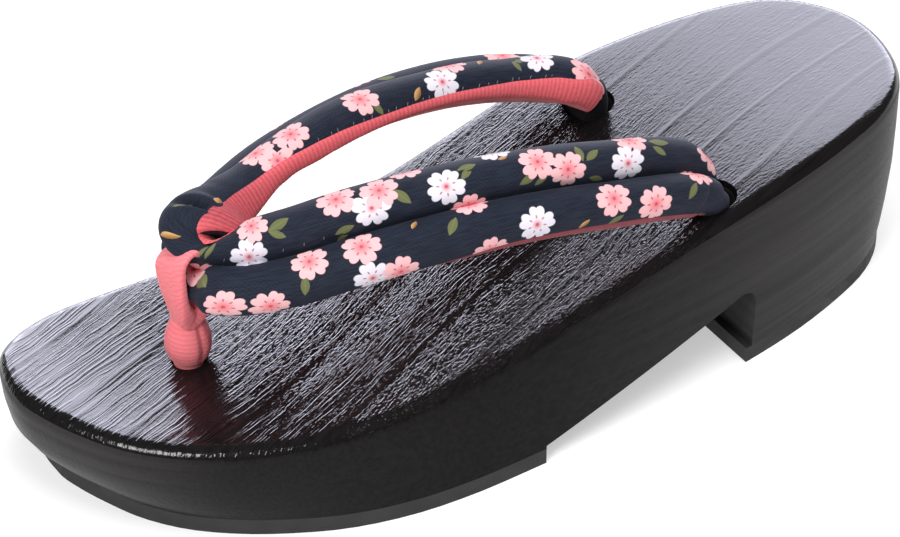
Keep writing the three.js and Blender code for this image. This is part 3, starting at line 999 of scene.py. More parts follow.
    def build(self, finish: BrushedLacquer) -> bpy.types.Object:
        """Model the base and cut the arch and holes.

        Args:
            finish: the lacquer.

        Returns:
            The piece.
        """
        cutters = [self.arch()]
        x, y = self.front_hole
        top = self.top_at(x)
        wide, deep = self.front_recess
        levels = (top + self.clear, top + 0.4, top - 0.5, top - 1.4, self.below)
        down = [Vector((x, y, z)) for z in levels]
        rim = (self.rim + 0.6, self.rim + 0.3, self.rim * 0.35, 0.0, 0.0)
        cutters.append(self.bore(down, [self.front_radius + 0.5 * more for more in rim]))
        recess = [Vector((x, y, z)) for z in (self.below, deep)]
        cutters.append(self.bore(recess, [wide, wide]))
        wide, start = self.rear_recess
        for side in (1, -1):
            drops = (-self.clear, -0.6, 0.5, 1.4, self.through)
            axis = [self.rear_axis(side, drop) for drop in drops]
            cutters.append(self.bore(axis, [self.rear_radius + more for more in rim]))
            axis = [self.rear_axis(side, drop) for drop in (start, self.through)]
            cutters.append(self.bore(axis, [wide, wide]))
        block = into_scene("base_block", mesh_of(self.block(), "base_block"))
        tools = [into_scene("base_cutter", mesh_of(bm, "base_cutter")) for bm in cutters]
        for tool in tools:
            cut = block.modifiers.new(tool.name, "BOOLEAN")
            cut.object = tool
            cut.operation = "DIFFERENCE"
            cut.solver = "EXACT"
        bpy.context.view_layer.update()
        shaped = block.evaluated_get(bpy.context.evaluated_depsgraph_get()).to_mesh()
        bm = bmesh.new()
        bm.from_mesh(shaped)
        for loose in (block, *tools):
            bpy.data.objects.remove(loose)
        bmesh.ops.remove_doubles(bm, verts=bm.verts, dist=0.003)
        for face in bm.faces:
            face.material_index = 0 if face.normal.z > self.top_facing else 1
        piece = finish_piece(bm, "wooden_base", finish.material(wall=False), 32)
        piece.data.materials.append(finish.material(wall=True))
        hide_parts("base")
        return piece


@dataclass
class Soles:
    """Rubber sheets under the front and the heel, in the shapes of their solids."""

    nodes: tuple[str, ...] = ("front_sole", "heel_sole")
    edge: float = 0.45

    def dress(self, frame: dict, finish: SpongeRubber) -> None:
        """Give the sheets their rubber and a worn edge.

        Args:
            frame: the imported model.
            finish: the rubber.
        """
        rubber = finish.material()
        for name in self.nodes:
            sole = frame["nodes"][name]
            sole.data.materials.clear()
            sole.data.materials.append(rubber)
            weld = sole.modifiers.new("weld", "WELD")
            weld.merge_threshold = 1e-5
            bevel = sole.modifiers.new("worn_edge", "BEVEL")
            bevel.width = self.edge * MM
            bevel.segments = 2
            bevel.limit_method = "ANGLE"
            bevel.angle_limit = math.radians(40)
            bevel.harden_normals = False


class Motif(Enum):
    """What the print shows."""

    PINK = 1
    WHITE = 2
    LEAF = 3
    BUD = 4


@dataclass(frozen=True)
class Print:
    """One motif of the print, charted on the strap's own cloth in millimetres."""

    kind: Motif
    along: float
    across: float
    size: float
    turn: float = 0.0

    def local(self, s: float, w: float) -> Vector:
        """Coordinates of a point of the cloth in the motif's own size and turn."""
        return Matrix.Rotation(-self.turn, 2) @ Vector((s - self.along, w - self.across)) / self.size


@dataclass
class StrapForm:
    """Path and section of the padded strap, shared by the pad, its lining and its stitches."""

    front: tuple[float, float] = (79.8, -8.7)
    rear_x: float = -42.4
    rear_middle: float = 0.65
    skew: float = 1.3
    groove: float = 0.12
    groove_angle: float = 68.0
    under: float = 0.36
    under_share: float = 0.125
    pinch: float = 0.53
    swell: float = 0.45
    hold: float = 0.34
    droop: float = 1.1
    flat: float = 0.32
    near: float = 0.004
    samples: int = 800
    rows: list[Row] = field(default_factory=list)
    stations: list[tuple[float, float]] = field(default_factory=list)

    def __post_init__(self) -> None:
        """Lay out both legs of the strap from rear hole to nose to rear hole."""
        leg = table(
            "x half z lean twist turn width thick inner outer",
            (
                (-38.2, 23.65, 20.4, 0, 0, 0, 5, 5, 0, 0), (-38.5, 23.65, 22.4, 0, 0, 0, 12, 11, 0, 0),
                (-39.3, 23.65, 26, 0, 0, 0, 10, 9.2, 0, 0), (-40.8, 23.65, 35.4, 0, 0, 0, 9.8, 9, 0, 0),
                (-41.2, 23.65, 44, 14, 0, 0, 10.6, 9.2, 0, 0),
                (-40.3, 23.7, 49.6, 26, 0, 0, 14.4, 9.8, 0, 0),
                (-37.5, 23.8, 53.6, 31, 0, -3, 17.4, 10.8, 0.6, 0),
                (-32.9, 24.3, 56.4, 33, 0, -4, 18.9, 11.4, 1.2, 0),
                (-26, 25.2, 59.1, 35, 0, -2, 19.5, 11.6, 1.4, 0),
                (-16, 25.8, 61.8, 37, 0, 1, 19.9, 11.6, 1.4, 0),
                (-2, 25.1, 64.5, 39, 0, 5, 20.5, 11.6, 1.2, 0),
                (14, 23.5, 65.8, 40, 0, 8, 21.1, 11.6, 1, 0),
                (30, 21.1, 65.2, 40, 0, 12, 21.8, 11.4, 0.6, 0),
                (46, 17.5, 62.9, 40, 0, 15, 22.4, 11.2, 0, 0.4),
                (59, 13.3, 59.4, 40, 3, 18, 22.4, 10.8, 0, 1.4),
                (68.3, 9.6, 57.5, 46, 10, 32, 22.2, 10.6, 0, 2.4),
                (74, 5.2, 56.8, 58, 15, 62, 22, 10.6, 0, 2.2),
            ),
        )
        nose = {**leg[-1], "x": 77.4, "half": 0, "lean": 70, "twist": 0, "turn": 90, "outer": 0}
        self.rows = [self.placed(row, 1) for row in leg]
        self.rows.append(self.placed(nose, 1))
        self.rows += [self.placed(row, -1) for row in reversed(leg)]
        t = 0.0
        for i, row in enumerate(self.rows):
            if i:
                last = self.rows[i - 1]
                t += math.sqrt(math.dist([row[k] for k in "xyz"], [last[k] for k in "xyz"]))
            row["t"] = t
        self.measure(self.rows[len(leg)]["t"])

    def placed(self, row: Row, side: int) -> Row:
        """Put a row of the leg's table on one side of the sandal.

        Args:
            row: the row.
            side: 1 for the left leg, -1 for the right.

        Returns:
            The row in the base's own drawing.
        """
        slope = (self.rear_middle - self.front[1]) / (self.rear_x - self.front[0])
        right = 1 if side < 0 else 0
        shift = right * (row["outer"] - row["inner"]) / 2
        return {
            "x": row["x"] - side * self.skew * ease(-row["x"], -10, 36),
            "y": self.front[1] + slope * (row["x"] - self.front[0]) + side * (row["half"] + 0.6 * shift),
            "z": row["z"] + 0.8 * shift,
            "thick": row["thick"] + right * (row["outer"] + row["inner"]),
            "width": row["width"],
            "lean": math.radians(row["lean"] - side * row["twist"]),
            "face": math.atan(slope) - math.pi + side * math.radians(90 - row["turn"]),
        }

    def at(self, t: float) -> Vector:
        """Point of the strap's middle line."""
        return Vector([along(self.rows, key, t) for key in "xyz"])

    def measure(self, nose: float) -> None:
        """Measure the middle line's length, 0 at the nose and negative on the left leg.

        Args:
            nose: the nose's place on the curve.
        """
        end = self.rows[-1]["t"]
        places = [end * i / self.samples for i in range(self.samples + 1)]
        lengths = walked([self.at(t) for t in places])
        i = next(k for k, t in enumerate(places) if t >= nose)
        share = (nose - places[i - 1]) / (places[i] - places[i - 1])
        zero = lengths[i - 1] + share * (lengths[i] - lengths[i - 1])
        self.stations = [(length - zero, t) for length, t in zip(lengths, places)]

    def place(self, s: float) -> float:
        """Find the curve's place at a length from the nose.

        Args:
            s: the length, negative on the left leg.

        Returns:
            The place t.
        """
        low, high = 0, len(self.stations) - 1
        while high - low > 1:
            mid = (low + high) // 2
            low, high = (mid, high) if self.stations[mid][0] <= s else (low, mid)
        (a, ta), (b, tb) = self.stations[low], self.stations[high]
        return ta + (tb - ta) * min(max((s - a) / (b - a), 0.0), 1.0)

    def frame(self, s: float) -> tuple[Vector, Vector, Vector, float, float]:
        """Read the strap's section plane.

        Args:
            s: the length from the nose.

        Returns:
            Middle, direction across, direction outward, width and thickness.
        """
        t = self.place(s)
        end = self.rows[-1]["t"]
        travel = (self.at(min(t + 0.02, end)) - self.at(max(t - 0.02, 0.0))).normalized()
        face, lean = along(self.rows, "face", t), along(self.rows, "lean", t)
        across = Vector((math.cos(lean) * math.cos(face), math.cos(lean) * math.sin(face), math.sin(lean)))
        across = (across - travel * across.dot(travel)).normalized()
        outward = across.cross(travel)
        return self.at(t), across, outward, along(self.rows, "width", t), along(self.rows, "thick", t)

    def section(self, q: float, s: float, width: float, thick: float) -> Vector:
        """Read the section, with both rolls drawn in where the loop holds the nose.

        Args:
            q: place round the section, from 0 to 1, with the groove at 0.5.
            s: the length from the nose.
            width: the strap's width.
            thick: its thickness.

        Returns:
            Place across and outward.
        """
        point = self.plain_section(q, width, thick)
        if point.y < 0:
            # The underside hangs at the nose and lies flatter a little farther along
            hung = self.droop * ease(s, -10, 1) * (1 - ease(s, 9, 27))
            hung -= 0.2 * ease(s, 24, 31) * (1 - ease(s, 33, 44))
            low = 0.33 * width * (1 - ease(s, 5, 16))
            point.y *= 1 + hung * ease(point.x, -low, width / 2 - low)
        if point.x > 0:
            # The inner roll is pinched at the nose, swells beside it and lies flatter along the right leg
            point.x *= 1 - self.pinch * math.exp(-(((s + 4) / 7) ** 2))
            if point.y > 0:
                point.y *= 1 + self.swell * math.exp(-(((s - 3) / 7) ** 2))
                point.y *= 1 - self.flat * ease(s, 48, 80) * (1 - ease(s, 98, 118))
        else:
            # The loop holds the outer roll in and down
            held = math.exp(-(((s - 0.9) / 5.1) ** 6))
            middle = Vector((-width / 4, 0.0))
            point = middle + (point - middle) * (1 - self.hold * held) - Vector((0.0, 1.3 * held))
        return point

    def plain_section(self, q: float, width: float, thick: float) -> Vector:
        """Read the plain section: underside, outer roll, groove, inner roll, underside.

        Args:
            q: place round the section, from 0 to 1, with the groove at 0.5.
            width: the strap's width.
            thick: its thickness.

        Returns:
            Place across and outward.
        """
        reach = width / 4 + 0.25
        low = math.degrees(math.acos(-2 * self.under))
        side = -1 if q < 0.5 else 1
        p = q if q <= 0.5 else 1 - q
        if p <= self.under_share:
            edge = width / 4 + reach * math.sin(math.radians(low))
            return Vector((side * edge * p / self.under_share, -self.under * thick))
        share = (p - self.under_share) / (0.5 - self.under_share)
        if share > 0.9999:
            return Vector((0.0, self.groove * thick))
        angle = math.radians(low + (-self.groove_angle - low) * share)
        return Vector((side * (width / 4 + reach * math.sin(angle)), thick / 2 * math.cos(angle)))

    def normal(self, q: float, s: float, width: float, thick: float) -> Vector:
        """Read which way the section faces.

        Args:
            q: place round the section.
            s: the length from the nose.
            width: the strap's width.
            thick: its thickness.

        Returns:
            Direction across and outward.
        """
        ahead = self.section((q + self.near) % 1.0, s, width, thick)
        way = ahead - self.section((q - self.near) % 1.0, s, width, thick)
        return Vector((-way.y, way.x)).normalized()

    def roll_place(self, side: int, angle: float) -> float:
        """Find the place round the section of an angle on one roll.

        Args:
            side: 1 for the inner roll, -1 for the outer.
            angle: degrees from the roll's crest, away from the groove.

        Returns:
            The place q.
        """
        low = math.degrees(math.acos(-2 * self.under))
        share = (low - angle) / (low + self.groove_angle)
        p = self.under_share + share * (0.5 - self.under_share)
        return p if side < 0 else 1 - p


@dataclass(frozen=True)
class Crease:
    """A soft trough or ridge in the padded cloth, placed in millimetres on the cloth."""

    along: float
    across: float
    turn: float
    length: float
    width: float
    depth: float

    def lift(self, s: float, w: float) -> float:
        """Height that the crease adds at a point of the cloth.

        Args:
            s: length from the nose.
            w: distance from the groove.

        Returns:
            The height, negative in a trough.
        """
        ds, dw = s - self.along, w - self.across
        angle = math.radians(self.turn)
        run = (ds * math.cos(angle) + dw * math.sin(angle)) / self.length
        side = (-ds * math.sin(angle) + dw * math.cos(angle)) / self.width
        if abs(run) > 2.2 or abs(side) > 3.2:
            return 0.0
        fade = math.exp(-run * run * 1.6)
        return -self.depth * fade * (1 - 0.5 * side * side) * math.exp(-side * side * 0.7)


# Print: kind, place along and across the cloth in millimetres, and turn in radians
BLOSSOMS: tuple[tuple[str, float, float, float], ...] = (
    ("PINK", -46.6, 9.9, 0.3), ("WHITE", -43.9, 6.3, 0.5), ("PINK", -16.1, 9.9, 0.8),
    ("WHITE", -14.5, 2.5, 0.2), ("PINK", -27.6, -5.4, 0.1), ("PINK", -39.3, -5.6, 0.7),
    ("PINK", -37.2, 10.8, 0.2), ("WHITE", -61.0, 6.7, 0.9), ("PINK", -65.7, -0.8, 0.4),
    ("PINK", -46.3, -14.6, 0.6), ("WHITE", -39.8, -13.9, 0.1), ("PINK", -1.2, -0.7, 0.3),
    ("PINK", 30.9, 9.9, 0.2), ("PINK", 39.5, 12.0, 0.6), ("PINK", 32.7, 15.5, 1.0),
    ("PINK", 58.8, 12.5, 0.4), ("WHITE", 79.8, 13.3, 0.7), ("PINK", 84.5, 7.3, 0.1),
    ("PINK", -82.6, 8.0, 0.5), ("PINK", -89.5, 5.1, 0.9), ("WHITE", -104.9, 4.7, 0.2),
    ("PINK", -107.8, 11.2, 0.6), ("PINK", -123.5, -3.2, 0.3), ("PINK", -129.5, 7.4, 0.8),
    ("WHITE", -79.1, -10.9, 0.4), ("PINK", -98.5, -7.8, 0.0), ("PINK", -108.9, -10.6, 0.7),
    ("PINK", -68.0, -16.0, 0.2), ("PINK", 104.4, -5.3, 0.5), ("WHITE", 107.8, 9.4, 0.9),
    ("PINK", 120.0, 12.2, 0.1), ("WHITE", 19.0, -11.0, 0.3), ("PINK", 27.0, -15.0, 0.8),
    ("PINK", 44.0, -11.0, 0.2), ("WHITE", 56.0, -14.0, 0.5), ("PINK", 68.0, -10.5, 0.9),
    ("PINK", 78.0, -15.0, 0.1), ("WHITE", 91.0, -12.0, 0.7), ("PINK", 117.0, -12.0, 0.0),
    ("PINK", -54.0, 15.5, 0.5), ("WHITE", -74.0, 15.0, 0.1),
)
SMALL_BLOSSOMS: tuple[tuple[str, float, float, float], ...] = (
    ("PINK", -9.5, -12.7, 0.5), ("PINK", -17.2, -13.9, 0.9),
)
# Leaves and buds: kind, place along and across, length of half of one, and turn in degrees
SPRIGS: tuple[tuple[str, float, float, float, float], ...] = (
    ("LEAF", -22.9, 8.6, 3.0, 160), ("LEAF", -22.0, 6.4, 2.2, -150), ("LEAF", -25.2, -10.7, 2.4, -75),
    ("LEAF", -37.0, 3.0, 2.3, 168), ("LEAF", -36.2, 1.0, 1.7, 150), ("LEAF", -50.9, 7.1, 2.7, -128),
    ("LEAF", -59.8, -6.7, 2.4, -55), ("LEAF", -4.8, -5.2, 2.7, -118), ("LEAF", -4.1, 7.9, 2.1, 101),
    ("LEAF", -5.8, 5.8, 1.9, 122), ("LEAF", 6.9, 16.0, 1.9, 68), ("LEAF", 61.6, 16.1, 2.0, 68),
    ("LEAF", 73.4, -5.1, 2.2, 20), ("LEAF", -66.7, 10.2, 2.3, 172), ("LEAF", -66.2, 8.7, 2.0, 140),
    ("LEAF", -93.0, 8.6, 2.2, -98), ("LEAF", -95.9, 7.7, 2.2, 148), ("LEAF", -79.7, 4.3, 2.3, 155),
    ("LEAF", -82.8, 3.4, 1.8, 148), ("LEAF", -114.9, 9.0, 2.6, -167), ("LEAF", -114.0, 6.7, 2.0, -140),
    ("LEAF", -119.5, -8.8, 2.4, -52), ("LEAF", -96.9, 1.7, 2.0, -162), ("LEAF", -99.4, -13.3, 2.0, 145),
    ("LEAF", 101.4, 11.2, 1.8, 64), ("LEAF", 102.7, 9.7, 1.8, -10), ("LEAF", 13.0, -13.0, 2.4, 30),
    ("LEAF", 36.5, -11.5, 2.4, 110), ("LEAF", 50.5, -9.5, 2.2, -60), ("LEAF", 84.5, -11.0, 2.4, 20),
    ("LEAF", 110.0, -11.0, 2.2, -120), ("BUD", -51.9, -3.5, 1.5, 124), ("BUD", 11.0, 19.5, 1.9, -47),
    ("BUD", 72.5, 14.9, 1.9, -55), ("BUD", -75.2, 10.7, 1.2, 169), ("BUD", -91.2, -13.2, 1.7, 135),
    ("BUD", 92.3, 8.7, 1.6, -51), ("BUD", 1.2, 12.2, 1.7, 120), ("BUD", 62.0, -9.5, 1.5, 20),
    ("BUD", 98.0, -13.0, 1.5, 70),
)
# Creases: place along and across, turn in degrees, length, width and depth, negative for a ridge
CREASES: tuple[tuple[float, ...], ...] = (
    (7.5, 18.0, 92, 5.5, 0.75, 2.4), (9.6, 17.5, 92, 5.0, 1.4, -0.6), (-0.8, 11.0, 147, 2.4, 0.8, 0.7),
    (14.5, 8.0, 70, 6.0, 1.5, 0.35), (-4.5, 9.0, 112, 6.5, 1.5, 0.8), (-10.5, 12.0, 104, 5.0, 1.4, 0.45),
    (4.0, -6.0, 84, 6.0, 1.3, 0.5), (-6.5, -9.0, 96, 6.0, 1.3, 0.5), (-128.0, 8.0, 70, 6.0, 1.5, 0.6),
    (-126.0, -9.0, 104, 6.0, 1.5, 0.6), (-132.0, -4.0, 92, 6.0, 1.4, 0.6),
    (123.0, 8.0, 110, 6.0, 1.5, 0.6), (126.5, 2.0, 96, 6.0, 1.4, 0.6), (121.0, -8.0, 76, 6.0, 1.5, 0.6),
    (-33.0, 1.8, 25, 4.5, 1.1, 0.25), (-55.0, -1.8, -22, 4.5, 1.1, 0.25),
    (-86.0, 1.8, 24, 4.5, 1.1, 0.25), (-70.0, 1.6, 28, 4.0, 1.0, 0.22), (40.0, 1.8, -24, 4.5, 1.1, 0.25),
    (75.0, -1.8, 24, 4.5, 1.1, 0.25),
)


@dataclass
class Strap:
    """Padded strap: two rolls sewn down the middle, navy print outside."""

    form: StrapForm
    steps: int = 640
    round_steps: int = 72
    blossom_mm: float = 4.4
    small_mm: float = 3.9
    # How far round its middle a motif is charted, in its own size
    blossom_room: float = 1.3
    sprig_room: float = 1.4
    prints: list[Print] = field(default_factory=list)
    creases: list[Crease] = field(default_factory=list)

    def __post_init__(self) -> None:
        """Chart the print and the creases."""
        for size, rows in ((self.blossom_mm, BLOSSOMS), (self.small_mm, SMALL_BLOSSOMS)):
            self.prints += [Print(Motif[kind], s, w, size, turn) for kind, s, w, turn in rows]
        for kind, s, w, size, turn in SPRIGS:
            self.prints.append(Print(Motif[kind], s, w, size, math.radians(turn)))
        self.creases = [Crease(*row) for row in CREASES]

    def chart(self, bm: bmesh.types.BMesh, cloth: dict) -> None:
        """Write each motif's own coordinates on the cloth that it covers.

        Args:
            bm: the strap's mesh.
            cloth: place on the cloth for each vertex.
        """
        layers = bm.loops.layers.float_vector
        pair = ("blossom_front", "blossom_behind")
        lay = {name: layers.new(name) for name in ("cloth_mm", *pair, "sprig")}
        flowers = [p for p in self.prints if p.kind in (Motif.PINK, Motif.WHITE)]
        sprigs = [p for p in self.prints if p.kind in (Motif.LEAF, Motif.BUD)]
        for face in bm.faces:
            middle = sum((cloth[v] for v in face.verts), Vector((0, 0))) / len(face.verts)
            near = [p for p in flowers if p.local(*middle).length < self.blossom_room]
            green = min(sprigs, key=lambda p: p.local(*middle).length)
            for loop in face.loops:
                s, w = cloth[loop.vert]
                loop[lay["cloth_mm"]] = (s, w, 0.0)
                for name, p in zip(pair, near):
                    loop[lay[name]] = (*p.local(s, w), p.kind.value)
                if green.local(*middle).length < self.sprig_room:
                    loop[lay["sprig"]] = (*green.local(s, w), green.kind.value - 2)

    def build(self, finish: PrintedCotton) -> bpy.types.Object:
        """Model the padded strap.

        Args:
            finish: the cotton.

        Returns:
            The piece.
        """
        bm = bmesh.new()
        start, end = self.form.stations[0][0], self.form.stations[-1][0]
        cloth = {}
        for i, verts in grid_lines(bm, self.steps, self.round_steps).items():
            s = start + (end - start) * i / self.steps
            middle, across, outward, width, thick = self.form.frame(s)
            verts.sort(key=lambda v: v.co.y)
            flat = [self.form.section((v.co.y + 1) / 2, s, width, thick) for v in verts]
            lengths = walked(flat)
            half = lengths[len(flat) // 2]
            for j, vert in enumerate(verts):
                w = lengths[j] - half
                cloth[vert] = Vector((s, w))
                ahead, behind = flat[min(j + 1, len(flat) - 1)], flat[max(j - 1, 0)]
                way = ahead - behind
                normal = Vector((-way.y, way.x)).normalized()
                lift = sum(c.lift(s, w) for c in self.creases)
                point = flat[j] + normal * lift
                vert.co = middle + across * point.x + outward * point.y
        self.chart(bm, cloth)
        close_tube(bm)
        piece = finish_piece(bm, "padded_strap", finish.material(), 75)
        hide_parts("strap")
        return piece


@dataclass
class Lining:
    """Coral corded lining under the strap, sewn to the print along both edges."""

    form: StrapForm
    rib: float = 1.15
    relief: float = 0.045
    cloth: float = 0.3
    start: float = -133.0
    end: float = 123.6
    rib_steps: int = 6
    across_steps: int = 30
    wide: float = 26.0
    # Nearest to the middle of the underside that a border may lie
    farthest: float = 117.0
    inner: list[Row] = field(default_factory=list)
    outer: list[Row] = field(default_factory=list)

    def __post_init__(self) -> None:
        """Chart where the lining meets the print, in degrees from each roll's crest."""
        self.inner = table(
            "t angle",
            (
                (-140, 101), (-16, 101), (-9, 62), (-4, 56), (-2, 72), (2, 83), (4.2, 89), (6.5, 95),
                (10, 96), (15.7, 89), (22.2, 79), (29.2, 77), (39, 89), (50, 99), (62.7, 110),
                (74.7, 112), (84.4, 111), (89.5, 110), (101.5, 99), (106.5, 93), (112.7, 83), (118, 76),
                (123, 60), (134, 60),
            ),
        )
        self.outer = table(
            "t angle",
            (
                (-140, 116), (-133, 116), (-123.5, 94), (-113.4, 82), (-105, 74), (-95, 74), (-72, 77),
                (-60, 97), (-52, 114), (-40, 116), (52, 116), (68, 88), (134, 86),
            ),
        )

    def border(self, s: float, side: int) -> float:
        """Angle on a roll where the lining meets the print.

        Args:
            s: length from the nose.
            side: 1 for the inner roll, -1 for the outer.

        Returns:
            Degrees from the roll's crest.
        """
        rows = self.inner if side > 0 else self.outer
        return min(along(rows, "angle", s), self.farthest)

    def build(self, finish: RibbedCloth) -> bpy.types.Object:
        """Model the lining.

        Args:
            finish: the corded cloth.

        Returns:
            The piece.
        """
        ribs = round((self.end - self.start) / self.rib)
        steps = ribs * self.rib_steps
        bm = bmesh.new()
        own = {}
        for i, verts in grid_lines(bm, steps, self.across_steps).items():
            s = self.start + (self.end - self.start) * i / steps
            middle, across, outward, width, thick = self.form.frame(s)
            wave = 0.5 + 0.5 * math.cos(2 * math.pi * i / self.rib_steps)
            first = self.form.roll_place(1, self.border(s, 1)) - 1.0
            last = self.form.roll_place(-1, self.border(s, -1))
            for vert in verts:
                share = (vert.co.y + 1) / 2
                q = first + (last - first) * share
                here = self.form.section(q % 1.0, s, width, thick)
                normal = self.form.normal(q, s, width, thick)
                # The hem dips into the print, and the ribs fade towards it
                hem = min(share, 1 - share)
                rise = self.cloth * ease(hem, 0.0, 0.05) - 0.08 * (1 - ease(hem, 0.0, 0.03))
                rise += self.relief * wave * ease(hem, 0.01, 0.06)
                point = here + normal * rise
                # Painted shade: the left leg's outer hem, which lies in its own shade, is darkened
                painted_shade = 3.0 * ease(share, 0.7, 0.95) * ease(-s, 40, 58)
                # Painted shade in the fold behind the toes too
                painted_shade += 1.5 * ease(s, 1, 6) * (1 - ease(s, 12, 38))
                own[vert] = (s, share * self.wide, wave - painted_shade)
                vert.co = middle + across * point.x + outward * point.y
        write_cloth(bm, own)
        bmesh.ops.recalc_face_normals(bm, faces=bm.faces)
        self.turn_out(bm)
        piece = finish_piece(bm, "strap_lining", finish.material(), 180)
        return piece

    def turn_out(self, bm: bmesh.types.BMesh) -> None:
        """Turn the sheet's faces away from the pad.

        Args:
            bm: the lining's mesh.
        """
        score = 0.0
        for face in list(bm.faces)[:: max(1, len(bm.faces) // 400)]:
            score += face.normal.z
        if score > 0:
            bmesh.ops.reverse_faces(bm, faces=bm.faces)


@dataclass
class FrontLoop:
    """Ribbed coral loop round the strap's nose, on a stem through the front hole."""

    axis: tuple[float, float] = (78.3, -10.5)
    plane: float = -8.8
    reach: float = 5.5
    # The ribs climb across the band as it wraps the nose
    climb: float = 0.62
    seam: float = 1.75
    rib: float = 1.15
    relief: float = 0.045
    rib_steps: int = 8
    round_steps: int = 44
    samples: int = 400
    # Below 1 the band's section is squarer than an ellipse
    square: float = 0.6
    rows: list[Row] = field(default_factory=list)
    stem: list[Row] = field(default_factory=list)

    def __post_init__(self) -> None:
        """Lay out the ring and the stem."""
        ring = table(
            "x z width thick tilt",
            (
                (79.2, 41, 6.2, 6, 0), (81.6, 45, 9.4, 3.6, 0.1), (82.8, 50, 11.6, 2.8, 0.3),
                (82.8, 55.2, 12.6, 2.6, 0.42), (79.2, 57.5, 11.8, 2.4, 0.42), (75, 54.2, 8, 2.4, 0.1),
                (71.6, 50.4, 6.6, 2.6, 0), (72.6, 46.4, 6, 3, 0), (76, 43.2, 6.2, 4.6, 0),
            ),
        )
        closed = [ring[-1], *ring, ring[0], ring[1]]
        self.rows = [{**row, "t": float(i - 1)} for i, row in enumerate(closed)]
        self.stem = table(
            "t radius",
            (
                (5.6, 3), (6.6, 6.4), (8.8, 7.4), (10.8, 6.2), (12.6, 3.7), (18, 3.6), (25, 3.6),
                (27.2, 3.7), (28.4, 4.5), (30, 5.2), (32, 5.6), (35, 5.3), (38, 4.3), (40.2, 3.3),
                (42.4, 2.6),
            ),
        )

    def middle(self, t: float) -> Vector:
        """Point of the band's middle line."""
        return Vector((along(self.rows, "x", t), self.plane, along(self.rows, "z", t)))

    def squared(self, value: float) -> float:
        """Draw a sine or cosine out towards its ends."""
        return math.copysign(abs(value) ** self.square, value)

    def ring(self, bm: bmesh.types.BMesh, own: dict) -> None:
        """Model the band round the strap.

        Args:
            bm: the loop's mesh.
            own: place on the cloth for each vertex.
        """
        count = len(self.rows) - 3
        places = [count * i / self.samples for i in range(self.samples + 1)]
        lengths = walked([self.middle(t) for t in places])
        steps = round(lengths[-1] / self.rib) * self.rib_steps
        for i, verts in grid_lines(bm, steps, self.round_steps).items():
            length = lengths[-1] * (i % steps) / steps
            k = next(n for n in range(1, self.samples + 1) if lengths[n] >= length)
            share = (length - lengths[k - 1]) / (lengths[k] - lengths[k - 1])
            t = places[k - 1] + (places[k] - places[k - 1]) * share
            travel = (self.middle(t + 0.02) - self.middle(t - 0.02)).normalized()
            out = Vector((-travel.z, 0, travel.x))
            tilt = along(self.rows, "tilt", t)
            width = along(self.rows, "width", t)
            thick = along(self.rows, "thick", t)
            for vert in verts:
                angle = math.pi * (vert.co.y + 1)
                c, s = self.squared(math.cos(angle)), self.squared(math.sin(angle))
                u = c * width / 2
                uneven = 0.2 * math.sin(1.9 * length + 0.7 * u) + 0.14 * math.sin(0.8 * length - 1.3 * u)
                climb = (self.climb - tilt) * u
                wave = 0.5 + 0.5 * math.cos(2 * math.pi * (length - climb + uneven) / self.rib)
                u += c * (self.relief * wave - 0.15)
                v = s * (thick / 2 - 0.05 + self.relief * wave)
                own[vert] = (length, 11 * angle / math.pi, wave)
                vert.co = self.middle(t) + out * v + Vector((0, u, tilt * (u + self.reach)))

    def post(self, bm: bmesh.types.BMesh, own: dict) -> None:
        """Model the stem and its knot.

        Args:
            bm: the loop's mesh.
            own: place on the cloth for each vertex.
        """
        low, high = self.stem[0]["t"], self.stem[-1]["t"]
        steps = round((high - low) / self.rib) * self.rib_steps
        x, y = self.axis
        for i, verts in grid_lines(bm, steps, self.round_steps).items():
            z = low + (high - low) * i / steps
            wave = 0.5 + 0.5 * math.cos(2 * math.pi * i / self.rib_steps)
            plain = along(self.stem, "radius", z) - 0.08 + self.relief * wave
            deep = 0.8 * ease(z, 27, 31) * (1 - ease(z, 40, 42))
            for vert in verts:
                angle = math.pi * (vert.co.y + 1)
                radius = plain - deep * math.exp(-(((angle - self.seam) / 0.13) ** 2))
                own[vert] = (z, 5 * angle, wave)
                vert.co = (x + radius * math.cos(angle), y + radius * math.sin(angle), z)

    def build(self, finish: RibbedCloth) -> bpy.types.Object:
        """Model the loop.

        Args:
            finish: the corded cloth.

        Returns:
            The piece.
        """
        bm = bmesh.new()
        own: dict = {}
        self.ring(bm, own)
        self.post(bm, own)
        write_cloth(bm, own)
        close_tube(bm)
        piece = finish_piece(bm, "toe_loop", finish.material(), 75)
        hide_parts("front_loop")
        return piece


